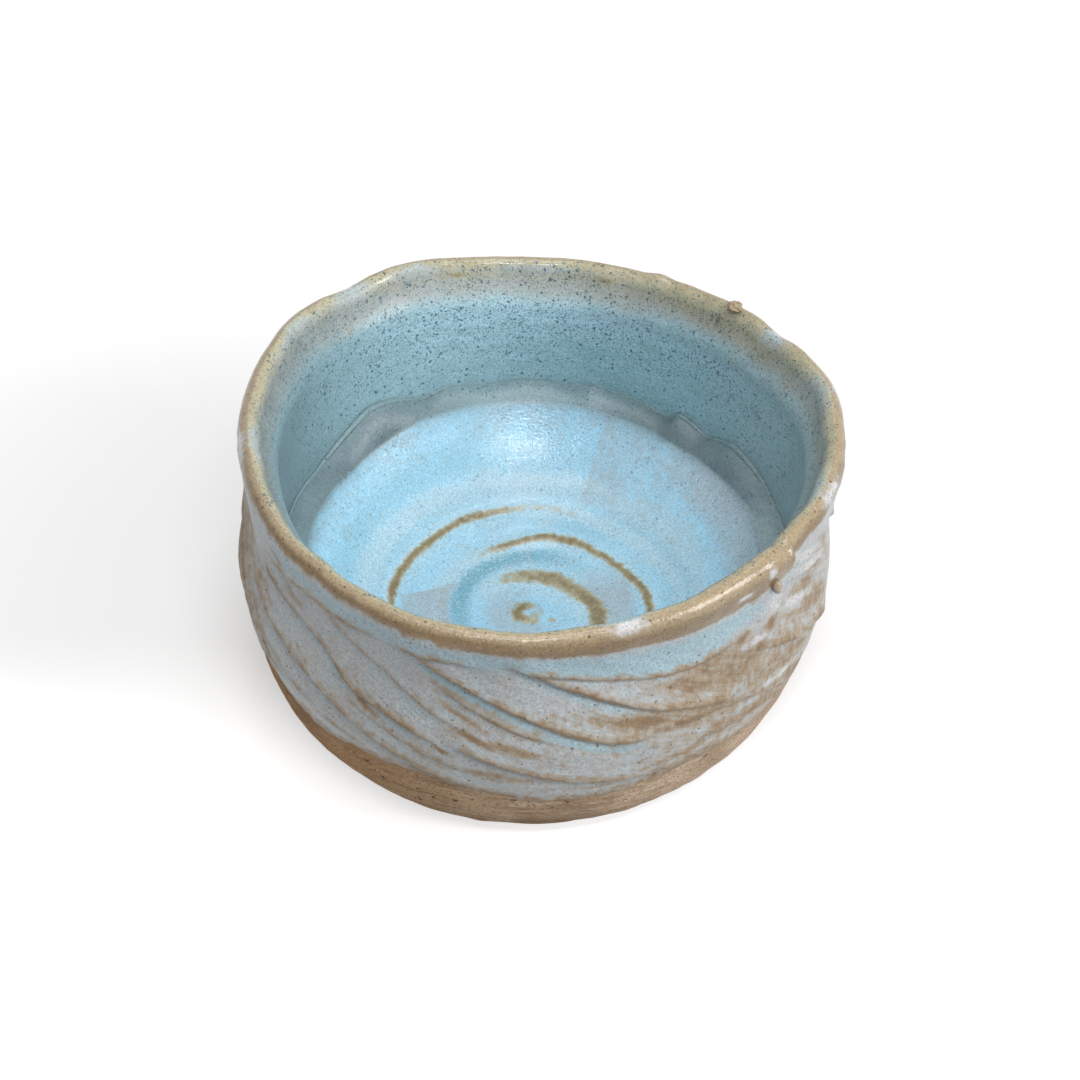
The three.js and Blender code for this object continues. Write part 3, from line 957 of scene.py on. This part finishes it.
right_edge = np.exp(-((from_angle(angles, 8) / 42) ** 4)) * eased(radius_mm, 38, 42)
dish_greyness = np.maximum(dish_greyness, 0.3 * eased(radius_mm, 40, 46) + 0.6 * right_edge)
# Teal pools in the dish: radius and half width in mm, degrees round and half width, and strength
dish_pools = (
    (16.3, 2.5, 135, 78, 1.0), (33, 4.5, 15, 45, 0.45), (25.5, 1.6, 85, 34, 0.5),
    (40, 3, 150, 50, 0.35), (33, 1.4, 100, 70, 0.4), (16.5, 2, -60, 60, 0.7),
    (35, 3, -100, 60, 0.6),
)
pools = np.zeros_like(angles)
for at_radius, half_width, degrees, half_turn, strength in dish_pools:
    across = np.abs((radius_mm - at_radius + 0.5 * soft_lumps) / half_width)
    around_it = from_angle(angles, degrees) / half_turn
    pools = np.maximum(pools, strength * np.exp(-(across**3) - around_it**4))
# Painted shade: the wall is made darker down both sides, most at the left, and near the rim all round
# but for the back, and less pale at the sides
beside = np.cos(angles) ** 2
wall_pale = wall_pale * (1 - 0.8 * beside)
sideways = (0.42 - 0.32 * np.cos(angles)) * beside * eased(depths, 3 * mm, 12 * mm)
high_up = (1 - near_angle(angles, 97, 34)) * (1 - eased(depths, 8 * mm, 13 * mm))
sideways = np.maximum(sideways, (0.45 - 0.1 * np.cos(angles)) * high_up)
sideways *= eased(depths, 0.4 * mm, 3 * mm)
# Painted shade on the coil's band, which faces up to the lamps: degrees round the bowl and share
coil_tones = (
    (-180, 0.85), (-90, 0.7), (-10, 0.48), (8, 0.6), (18, 0.9), (50, 0.98), (64, 0.85), (75, 0.66),
    (105, 0.66), (118, 0.85), (130, 0.95), (150, 0.95),
)
coil_dark = round_bowl(coil_tones, angles)
edge_off = np.maximum(dish_radius / mm - radius_mm, 0)
# Painted shade over the wall's sides, over the coil's band, and in a dark line along the crease at the
# dish's edge
corner = np.select(
    [rows < 2, rows < 3, rows < 4],
    [
        sideways,
        0.6 * coil_dark + 0.2 * np.sin(math.pi * (rows - 2)),
        coil_dark * (0.92 + 0.08 * (rows - 3)),
    ],
    0.5 * np.exp(-edge_off / 0.45) + 0.3 * hump(edge_off, 0, 2.2),
)
painted(
    poured.data,
    brown=np.where(on_dish, brown * dish_share, wall_brown),
    pale=np.where(on_dish, 0.2 + 0.75 * pale * (1 - 0.6 * pools), wall_pale),
    speck=np.where(on_dish, 0.2 + 0.3 * eased(radius_mm, 36, 46), wall_speck),
    grey=np.where(on_dish, dish_greyness, wall_grey),
    floor=on_dish,
    pools=np.where(on_dish, pools, 0),
    corner=corner,
)


def drawn_out(mesh, across_x, across_y, along):
    """The way that a glaze is drawn out: three coordinates in mm, slow along the flow."""
    layer = mesh.attributes.new("flow", "FLOAT_VECTOR", "POINT")
    flow = np.column_stack([across_x, across_y, along])
    layer.data.foreach_set("vector", np.ascontiguousarray(flow, dtype=np.float32).ravel())


# The glaze was swilled round, both on the wall and in the dish
drawn_out(
    poured.data,
    np.where(on_dish, radius_mm, depths / mm),
    np.where(on_dish, 4, 10) * np.cos(angles),
    np.where(on_dish, 4, 10) * np.sin(angles),
)

teal_deep = (0.40, 0.60, 0.66)
teal_green = (0.31, 0.49, 0.53)
# The darkest teal is painted shade, laid over the wall's sides, the coil's band and the crease
teal_corner = (0.128, 0.175, 0.192)
pool_teal = (0.165, 0.405, 0.51)
floor_blue = (0.375, 0.665, 0.84)
pale_blue = (0.47, 0.675, 0.78)
lilac_grey = (0.41, 0.50, 0.56)
ash_grey = (0.395, 0.42, 0.40)
olive_brown = (0.26, 0.198, 0.1)
tan_edge = (0.45, 0.415, 0.285)
speck_teal = (0.06, 0.12, 0.135)
speck_brown = (0.11, 0.07, 0.03)


def uneven_noise(tree, where, scale, detail, rough, strength):
    """Noise from about -1 to 1, turned askew so that its grid follows no edge of the piece."""
    askew = node(tree, "Mapping", {"Vector": where, "Rotation": (0.6, 0.45, 0.8)}).outputs[0]
    values = {"Vector": askew, "Scale": scale, "Detail": detail, "Roughness": rough}
    cloud = node(tree, "TexNoise", values).outputs["Fac"]
    return times(tree, worked(tree, "SUBTRACT", cloud, 0.5), strength)


def mottle_group():
    """The crystals of a stoneware glaze: unevenness of three sizes, each from about -1 to 1."""
    group, given, results = new_group("glaze_mottle", (), ("Fine", "Middle", "Broad"))
    for name, scale, detail in (("Fine", 2300, 2), ("Middle", 600, 3), ("Broad", 170, 5)):
        group.links.new(uneven_noise(group, given["Vector"], scale, detail, 0.6, 4), results[name])
    return group


glaze_mottle = mottle_group()


def jittered(tree, value, mottle, fine, broad):
    """A painted value with the glaze's unevenness added."""
    small = worked(tree, "ADD", mottle["Fine"], mottle["Middle"])
    return added(tree, added(tree, value, small, fine), mottle["Broad"], broad)


def grained(tree, colour, mottle, amount):
    """A colour made lighter and darker by the fine crystals."""
    light = added(tree, 1.0, mottle["Fine"], amount)
    shades = node(tree, "CombineColor", {0: light, 1: light, 2: light})
    return blended(tree, 1.0, colour, shades.outputs[0], "MULTIPLY")


def streaked(tree, scale, strength):
    """Streaks along the way that the glaze is drawn out, from about -1 to 1."""
    flow = node(tree, "Attribute", attribute_name="flow").outputs["Vector"]
    return uneven_noise(tree, flow, scale, 5, 0.62, strength)


def between(tree, share, low, high):
    """A number that goes evenly from low to high as a share goes from 0 to 1."""
    values = {"Value": share, "To Min": low, "To Max": high}
    return node(tree, "MapRange", values).outputs["Result"]


def dulled(tree, thin, thinnest, thick_rough, thin_rough):
    """The roughness of a glaze, from where it lies thick to where it is thinnest."""
    values = {"Value": thin, "From Min": 0.2, "From Max": thinnest}
    values |= {"To Min": thick_rough, "To Max": thin_rough}
    return node(tree, "MapRange", values).outputs["Result"]


poured_glaze, tree, surface = new_material("poured_glaze")
here = node(tree, "TexCoord").outputs["Object"]
mottle = node(tree, "Group", {"Vector": here}, node_tree=glaze_mottle).outputs
fibres = streaked(tree, 1.5, 4.0)
floor = read(tree, "floor")
uneven = jittered(tree, times(tree, fibres, 0.05), mottle, 0.24, 0.14)
thin = added(tree, read(tree, "brown"), uneven, between(tree, floor, 0.4, 1.0))
pooled = added(tree, jittered(tree, read(tree, "pools"), mottle, 0.24, 0.14), fibres, 0.06)
light = added(tree, jittered(tree, read(tree, "pale"), mottle, 0.3, 0.2), fibres, 0.14)
grey = jittered(tree, read(tree, "grey"), mottle, 0.16, 0.1)
cloudy = added(tree, mottle["Broad"], fibres, 0.6)
colour = layered(
    tree, teal_green,
    (ranged(tree, cloudy, -0.9, 0.9), teal_deep),
    (floor, floor_blue),
    (pooled, pool_teal),
    (ranged(tree, light, 0.0, 1.0), pale_blue),
    (ranged(tree, grey, 0.1, 1.0), blended(tree, floor, ash_grey, lilac_grey)),
    (ranged(tree, thin, 0.25, 0.65), tan_edge),
    (ranged(tree, thin, 0.6, 1.1), olive_brown),
    (jittered(tree, read(tree, "corner"), mottle, 0.06, 0.08), teal_corner),
)
colour = grained(tree, colour, mottle, 0.3)
lip_grey = times(tree, read(tree, "grey"), worked(tree, "SUBTRACT", 1.0, floor))
clumps = added(tree, read(tree, "speck"), times(tree, mottle["Broad"], read(tree, "speck")), 1.1)
fine_specks = specked(tree, here, 2100, times(tree, clumps, 0.8))
coarse_specks = specked(tree, here, 1120, times(tree, clumps, 0.5))
specks = worked(tree, "MAXIMUM", fine_specks, coarse_specks)
rim_share = times(tree, added(tree, read(tree, "brown"), lip_grey, 0.4), 0.4)
colour = layered(
    tree, colour,
    (times(tree, specks, between(tree, floor, 0.88, 0.4)), speck_teal),
    (times(tree, specked(tree, here, 2300, rim_share), 0.6), speck_brown),
)
tree.links.new(colour, surface.inputs["Base Color"])
below_crest = times(tree, lip_grey, ranged(tree, read(tree, "brown"), 0.58, 0.4))
rough = added(tree, dulled(tree, thin, 0.8, 0.11, 0.09), read(tree, "corner"), 0.25)
tree.links.new(added(tree, rough, below_crest, 0.3), surface.inputs["Roughness"])
surface.inputs["Specular IOR Level"].default_value = 0.38
skin = node(tree, "TexNoise", {"Vector": here, "Scale": 1700, "Detail": 2}).outputs["Fac"]
bumped(tree, surface, skin, added(tree, 0.55, lip_grey, -0.4), 0.16 * mm)

poured.data.materials.append(poured_glaze)
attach(poured, "root")
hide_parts("inner_glaze")

# Dipped glaze: the satin coat that the bowl was dipped in, upside down, from the crest of the lip
# to a ragged edge above the heel. It runs blue into the cuts and breaks tan over their edges.
edge_film = 0.12 * mm
outer_zones = ((0, lip_shares), (1, np.linspace(0, 1, 90)[1:]))
outer_over = [(zone + share * row_span, 0) for zone, shares in outer_zones for share in shares]
outer_under = [(row, 1) for row in (1 + row_span, 1.93, 1.85, 1.6, 1.3, 1.0, 0.5)]
outer_rows = outer_over + outer_under


def outer_clay(row, angle):
    """Radius, height and normal of the clay's outside, by row from the crest to the glaze's edge."""
    zone = np.floor(row).astype(int)
    share = (row - zone) / row_span
    lip = lip_at(math.pi / 2 * (1 - share))
    wall = outside_at(share * glaze_edge_at(angle))
    return tuple(np.where(zone == 0, on_lip, on_wall) for on_lip, on_wall in zip(lip, wall))


# Where the outer end of the strip stops: mm below the rim and degrees round the bowl
seam_line = (
    (0, -36.2), (3, -36.4), (8, -35.4), (11, -35.3), (14.5, -35.9), (18, -37), (20, -39.2),
    (21.3, -41.6), (22, -44.5), (44, -50),
)
lap_step = 1.0 * mm
lap_fade = 9 * mm


def lapped(angle, depth):
    """How far the outer end of the strip stands proud at the seam, how far past the seam a place
    lies, and how much of the lap is left at its depth."""
    past = np.radians(from_angle(angle, looked_up(seam_line, depth / mm))) * rim_radius
    covered = 0.5 - 0.5 * np.tanh(past / (0.35 * mm))
    proud = covered * np.exp(np.minimum(past, 0) / lap_fade)
    sunk = (1 - covered) * np.exp(-np.maximum(past, 0) / (0.6 * lap_fade))
    fade = 1 - eased(depth, 13 * mm, 23 * mm)
    groove = hump(past, 0.45 * mm, 0.5 * mm)
    return (lap_step * proud - 0.6 * lap_step * sunk - 0.3 * mm * groove) * fade, past, fade


bm = turned(coat_section(outer_clay, outer_rows), round_steps, rows=outer_rows)
dipped = finished("dipped_coat", bm)
places, angles, rows, under = laid_out(dipped.data)
under = under > 0.5
radii, heights, normal_r, normal_z = outer_clay(rows, angles)
depths = rim_height - heights
around = np.column_stack([radii * np.cos(angles), radii * np.sin(angles), heights])
cut_relief, cut_brown, cut_pool, cut_painted_shadow = carved(angles, depths)
seam_step, past_seam, seam_fade = lapped(angles, depths)
soft_lumps = ripple(around, 11 * mm)
depth_mm = depths / mm
# The knife's strokes flatten towards the heel: mm below the rim, and how steeply they fall there.
# Each of them left fine grooves, and drew the glaze out along itself
stroke_falls = ((-3, 0.45), (8, 0.6), (22, 0.6), (30, 0.42), (40, 0.3), (60, 0.3))
fall_depths, fall_step = np.linspace(-3, 60, 400, retstep=True)
fall_runs = np.cumsum(1 / looked_up(stroke_falls, fall_depths)) * fall_step
stroke_run = np.interp(depth_mm, fall_depths, fall_runs)
stroke_start = angles - stroke_run * mm / rim_radius
strokes_x = rim_radius / mm * np.cos(stroke_start)
strokes_y = rim_radius / mm * np.sin(stroke_start)
strokes = np.column_stack([strokes_x, strokes_y, 0.1 * stroke_run])
grooves = 0.09 * ripple(strokes, 3.2) + 0.05 * ripple(strokes, 1.4)
on_wall = eased(rows, 0.3, 1.1)
relief = on_wall * (cut_relief + grooves * mm) + seam_step * eased(rows, 0.1, 0.9)
small_lumps = ripple(around, 3 * mm)
lumps = 0.25 * soft_lumps + 0.12 * small_lumps + 0.06 * ripple(around, 1.2 * mm)
relief += eased(rows, 0, 1) * mm * lumps
edge_gap = (glaze_edge_at(angles) - depths + lip_round) / mm
film = edge_film + (coat_over - edge_film) * eased(edge_gap, 0, 7)
to_clay = scraped(around) * (1 - eased(edge_gap, 0, 6))
film = np.where(under, film - coat_depth * (0.35 + 0.65 * eased(edge_gap, 0, 4)), film)
film = film + np.where(under, 0.6, 1) * (relief + to_clay)
radii = radii + film * normal_r
heights = heights + film * normal_z
moved(dipped.data, hand_shaped(radii, heights, angles))

# Patches where the glaze came out thin, with their slope and how brown they are
thin_patches = (
    (-70, 24.9, 9, 1.5, 0.25, 0.9), (-61, 28.4, 6, 1.3, 0.1, 0.85), (-100, 25.8, 4, 0.9, 0.5, 0.9),
    (-93, 28, 6, 1.0, 0.3, 0.7), (-103, 20.6, 4, 0.9, 0.6, 0.7), (-61, 15.8, 8, 1.1, 0.1, 0.8),
    (-38, 29, 6, 2.0, 0.4, 0.55), (-44, 29, 5, 2.2, -0.2, 0.5), (-29, 17.4, 5, 1.6, 0.4, 0.5),
    (-41, 16.4, 1.3, 2.0, 0.2, 0.9), (-44.4, 20.6, 1.6, 1.2, 0, 1.0), (-48.6, 15.4, 1.6, 1.4, 0, 0.9),
    (-55, 20, 10, 4, 0.2, 0.52), (-32, 31, 6, 1.6, 0.4, 0.55), (-46.5, 5.1, 2.0, 1.6, 0, 0.9),
    (-121, 25.4, 4, 0.9, 0.5, 0.8), (-106, 30.2, 2, 0.8, 0.5, 0.9), (-98, 35.8, 8, 1.0, 0.2, 0.6),
    (-62, 36.8, 9, 0.8, -0.05, 0.5), (-45, 35.4, 8, 1.4, 0.1, 0.7), (-24, 24, 7, 2.4, 0.4, 0.45),
    (-128, 36.4, 5, 0.9, 0.3, 0.7), (-18, 34, 8, 2.6, 0.4, 0.6), (-30, 38, 8, 2.4, 0.4, 0.9),
    (-140, 12, 5, 1.5, 0.3, 0.6), (-152, 20, 5, 3.0, 0.4, 0.35), (-160, 33, 8, 2.0, 0.4, 0.7),
    (-166, 12, 6, 8, 0.2, 0.62), (-150, 34, 6, 2, 0.3, 0.8), (-143, 4.5, 5, 1.2, 0.2, 0.7),
    (-20, 12, 4, 2.0, 0.4, 0.5), (-79, 41, 9, 0.7, 0.1, 0.35), (20, 27, 9, 2, 0.4, 0.7),
    (48, 20, 8, 1.4, 0.5, 0.7), (75, 30, 9, 1.8, 0.4, 0.7), (104, 24, 8, 1.5, 0.5, 0.7),
    (132, 31, 9, 1.7, 0.4, 0.7), (160, 22, 8, 1.5, 0.5, 0.7), (-172, 33, 8, 2, 0.4, 0.7),
)
# How far the lip's brown band reaches down: degrees round the bowl and mm below the rim
rim_band = (
    (-180, 1.5), (-150, 1.0), (-136, 1.0), (-125, 1.3), (-113, 1.5), (-102, 1.8), (-92, 2.4),
    (-82, 3.2), (-72, 4.2), (-63, 4.9), (-55, 5.8), (-50, 6.2), (-44, 5.6), (-38, 4.4), (-30, 2.0),
    (0, 1.4), (30, 2.2), (60, 1.6), (90, 2.4), (120, 1.6), (150, 2.2),
)
band_end = round_bowl(rim_band, angles) + 0.5 * small_lumps
lip_gaps = patched(pale_gaps, angles, depth_mm)
lip_thin = (1 - eased(depth_mm, band_end - 0.9, band_end + 1.5)) * (1 - 0.8 * lip_gaps)
# The glaze breaks brown along the lip, the cuts' edges, the thin patches and its own lower edge
vary = 0.9 + 0.5 * small_lumps + 0.35 * soft_lumps
thin = np.maximum(lip_thin, np.clip(vary, 0.25, 1.15) * cut_brown)
thin = np.maximum(thin, 1.35 * patched(thin_patches, angles, depth_mm))
edge_reach = 3.8 + 3 * soft_lumps
thin = np.maximum(thin, 0.95 - 0.95 * eased(edge_gap / edge_reach, 0, 1))
# Where the whole coat is thinner: degrees round the bowl and how much
thin_sides = (
    (-180, 0.8), (-168, 0.7), (-160, 0.42), (-152, 0.16), (-145, 0.06), (-120, 0.1), (-95, 0.17),
    (-75, 0.26), (-60, 0.44), (-45, 0.5), (-30, 0.44), (0, 0.3), (90, 0.2), (165, 0.6),
)
sides = round_bowl(thin_sides, angles)
thin = thin + sides * eased(depth_mm, 9, 20) * (1 - 0.7 * eased(thin, 0.3, 0.8))
# A band of thicker glaze under the lip: degrees round the bowl, mm below the rim, and how thick
pale_band = (
    (-160, 3, 0.3), (-140, 3.4, 0.6), (-125, 4.2, 0.7), (-110, 4.4, 0.7), (-92, 5.4, 0.8),
    (-82, 6.8, 1.0), (-70, 8.9, 1.0), (-55, 10, 1.0), (-48, 9.8, 0.8), (-40, 10, 0.2),
)
band_middle = -100
round_angle = band_middle + from_angle(angles, band_middle)
band_strength = looked_up(pale_band, round_angle, 2, left=0.25, right=0.25)
band = band_strength * hump(depth_mm, looked_up(pale_band, round_angle), 3.2)
# White smears beside the seam, with their slope
white_smears = (
    (-33.8, 7, 1.1, 5, 0), (-40, 11.5, 2.4, 3.4, -0.5), (-45, 18.4, 3, 1.0, 0.1),
    (-29, 8.5, 6, 1.6, 0.5), (-25, 14, 7, 1.4, 0.45), (-31, 18.4, 6, 1.2, 0.45),
    (-50, 3.6, 1.6, 0.8, 0), (-43.5, 3.2, 1.0, 0.8, 0), (-36, 33, 8, 0.8, 0.3),
    (-25, 31, 6, 1.0, 0.4),
)
smeared = patched(white_smears, angles, depth_mm)
# A painted shadow line along the step of the lapped seam
seam_painted_shadow = hump(past_seam, 0.3 * mm, 0.42 * mm) * seam_fade * eased(depth_mm, 0, 0.8)
thin = thin * (1 - 0.6 * smeared * (1 - eased(thin, 0.7, 0.95)))
painted(
    dipped.data,
    thin=thin,
    pool=np.clip(np.maximum(band, cut_pool), 0, 1),
    dark=np.maximum(cut_painted_shadow * on_wall, 0.9 * seam_painted_shadow),
    white=np.maximum(smeared, lip_gaps),
    rim=1 - eased(depth_mm, band_end, band_end + 1.6),
    rim_low=eased(depth_mm / band_end, 0.05, 0.55),
)
drawn_out(dipped.data, *strokes.T)

satin_grey = (0.415, 0.465, 0.49)
satin_lilac = (0.44, 0.45, 0.46)
pool_blue = (0.335, 0.48, 0.545)
smear_white = (0.56, 0.56, 0.575)
break_tan = (0.315, 0.245, 0.165)
break_brown = (0.20, 0.13, 0.07)
rim_tan = (0.37, 0.29, 0.18)
rim_brown = (0.205, 0.135, 0.062)
cut_shadow = (0.13, 0.08, 0.045)
speck_grey = (0.15, 0.14, 0.13)

dipped_glaze, tree, surface = new_material("dipped_glaze")
here = node(tree, "TexCoord").outputs["Object"]
mottle = node(tree, "Group", {"Vector": here}, node_tree=glaze_mottle).outputs
smear = streaked(tree, 0.8, 2.0)
calm = between(tree, read(tree, "rim"), 1.0, 0.5)
uneven = times(tree, jittered(tree, times(tree, smear, 0.42), mottle, 0.36, 0.2), calm)
thin = worked(tree, "ADD", read(tree, "thin"), uneven)
pool = added(tree, jittered(tree, read(tree, "pool"), mottle, 0.12, 0.08), smear, -0.3)
white = added(tree, read(tree, "white"), uneven, -0.6)
crest = times(tree, read(tree, "rim"), ranged(tree, thin, 0.3, 0.8))
# The lip's band goes from tan at the crest to brown at its lower edge: partly the glaze's own brown,
# partly painted shade on the lip's lower, outward side
brown_and_shade = added(tree, read(tree, "rim_low"), mottle["Broad"], 0.2)
# The painted shadow lines of the cuts and the seam
shadow = times(tree, jittered(tree, read(tree, "dark"), mottle, 0.1, 0.2), 0.85)
colour = layered(
    tree, satin_grey,
    (ranged(tree, mottle["Broad"], -0.6, 0.6), satin_lilac),
    (ranged(tree, pool, 0.1, 0.85), pool_blue),
    (ranged(tree, white, 0.2, 0.8), smear_white),
    (ranged(tree, thin, 0.13, 0.85), break_tan),
    (ranged(tree, thin, 0.7, 1.2), break_brown),
    (crest, blended(tree, brown_and_shade, rim_tan, rim_brown)),
    (ranged(tree, shadow, 0.1, 0.9), cut_shadow),
)
speck_share = added(tree, 0.07, read(tree, "rim"), 0.12)
colour = layered(
    tree, grained(tree, colour, mottle, 0.36),
    (times(tree, specked(tree, here, 2000, 0.4), 0.45), speck_grey),
    (specked(tree, here, 1500, speck_share), speck_brown),
)
tree.links.new(colour, surface.inputs["Base Color"])
dull = dulled(tree, thin, 1, 0.38, 0.5)
shine = node(tree, "Mix", {"Factor": read(tree, "rim"), "A": dull, "B": 0.2})
tree.links.new(shine.outputs["Result"], surface.inputs["Roughness"])
surface.inputs["Specular IOR Level"].default_value = 0.45
skin = node(tree, "TexNoise", {"Vector": here, "Scale": 1100, "Detail": 4}).outputs["Fac"]
bumped(tree, surface, times(tree, skin, calm), 0.6, 0.35 * mm)

dipped.data.materials.append(dipped_glaze)
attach(dipped, "root")
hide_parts("outer_glaze")

# Rim crumb: a crumb of buff clay that stuck to the back of the rim and was fired there, with a
# film of ash over it.
crumb_fill = 1.2


def lump(name, box, fill, roughness):
    """A rounded lump that fills this share of a box, made rough by pairs of height and scale."""
    low, high = box
    middle = (low + high) / 2
    half = (high - low) / 2 * fill
    bm = bmesh.new()
    bmesh.ops.create_icosphere(bm, subdivisions=4, radius=1)
    for vert in bm.verts:
        rough = 1 + sum(height * noise.noise(vert.co * scale) for height, scale in roughness)
        vert.co = middle + Vector(a * b for a, b in zip(vert.co * rough, half))
    return finished(name, bm)


crumb = lump("crumb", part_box("rim_crumb"), crumb_fill, ((0.45, 1.7), (0.2, 4)))
painted(crumb.data, ash=np.ones(len(crumb.data.vertices)))
crumb.data.materials.append(bare_clay)
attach(crumb, "root")
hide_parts("rim_crumb")

# Seam bead: a drop of the dipped glaze that gathered on the lapped end, just under the lip. It was
# fired there with the coat, and is as tan and as glossy as the lip.
bead_fill = 0.75
bead_look = {"thin": 0.6, "pool": 0.2, "white": 0.3, "dark": 0, "rim": 1, "rim_low": 0.3}
bead = lump("bead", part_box("seam_bead"), bead_fill, ((0.15, 1.3),))
everywhere = np.ones(len(bead.data.vertices))
painted(bead.data, **{name: value * everywhere for name, value in bead_look.items()})
bead.data.materials.append(dipped_glaze)
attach(bead, "root")
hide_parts("seam_bead")

# Table and light: a plain white table, which glows a little to the eye and keeps the bowl's shadow
# beside it. It glows more away from the bowl, and more in front of it, which is painted light that
# lifts the bowl's shadow there. A broad softbox hangs overhead, a narrow one lies above the front,
# and a third stands at the front right, so that the shadow falls to the left.
table_half = 3.0
table_tones = (0.3, 0.64)
glow_near = 0.33
glow_away = 0.53
front_painted_light = 0.3
fill_light = 0.35
bowl_middle = Vector((0, 0, 0.03))


def seen_straight(tree):
    """1 for what is seen straight, in a shine or through glass, and 0 for what only gives light."""
    rays = node(tree, "LightPath").outputs
    seen = worked(tree, "MAXIMUM", rays["Is Camera Ray"], rays["Is Glossy Ray"])
    return worked(tree, "MAXIMUM", seen, rays["Is Transmission Ray"])


bm = bmesh.new()
bmesh.ops.create_grid(bm, x_segments=2, y_segments=2, size=table_half)
table = finished("table", bm)
white_table, tree, surface = new_material("white_table")
seen = seen_straight(tree)
tree.links.new(between(tree, seen, *table_tones), surface.inputs["Base Color"])
surface.inputs["Roughness"].default_value = 1
surface.inputs["Specular IOR Level"].default_value = 0
surface.inputs["Emission Color"].default_value = (1, 1, 1, 1)
here = node(tree, "TexCoord").outputs["Object"]
away = node(tree, "VectorMath", {0: here}, operation="LENGTH").outputs["Value"]
glow = added(tree, glow_near, ranged(tree, away, 0.09, 0.36), glow_away)
# Painted light: the table glows more in front of the bowl, lifting its shadow there
towards_front = node(tree, "SeparateXYZ", {0: here}).outputs["Y"]
glow = added(tree, glow, ranged(tree, towards_front, 0.01, -0.04), front_painted_light)
tree.links.new(times(tree, seen, glow), surface.inputs["Emission Strength"])
table.data.materials.append(white_table)


def softbox(name, place, size, power):
    """A lamp of this size and power, turned towards the middle of the bowl."""
    lamp = bpy.data.lights.new(name, "AREA")
    lamp.shape = "RECTANGLE"
    lamp.size, lamp.size_y = size
    lamp.energy = power
    holder = bpy.data.objects.new(name, lamp)
    holder.location = place
    to_bowl = bowl_middle - Vector(place)
    holder.rotation_euler = to_bowl.to_track_quat("-Z", "Y").to_euler()
    bpy.context.scene.collection.objects.link(holder)


softbox("overhead", (0.05, -0.02, 0.92), (0.5, 0.4), 2.8)
softbox("front_above", (0.09, -0.53, 0.85), (0.42, 0.05), 3.0)
softbox("right_side", (0.78, -0.33, 0.42), (0.34, 0.34), 4.7)

world = bpy.data.worlds.new("studio")
bpy.context.scene.world = world
world.use_nodes = True
tree = world.node_tree
fill = tree.nodes["Background"]
fill.inputs["Color"].default_value = (1, 1, 1, 1)
tree.links.new(between(tree, seen_straight(tree), fill_light, 1.0), fill.inputs["Strength"])
bpy.context.scene.view_settings.view_transform = "Standard"

# Camera: where the photograph was taken from, above and in front of the bowl, with a lens that was
# fitted to the bowl's outline.
looking_down = math.radians(43.01)
lens = bpy.data.cameras.new("viewpoint")
lens.sensor_width = 36
lens.lens = 60.74
lens.clip_start = 0.01
viewpoint = bpy.data.objects.new("viewpoint", lens)
viewpoint.location = (0.77 * mm, -278.8 * mm, 295.0 * mm)
viewpoint.rotation_euler = (math.pi / 2 - looking_down, 0, 0)
bpy.context.scene.collection.objects.link(viewpoint)
bpy.context.scene.camera = viewpoint
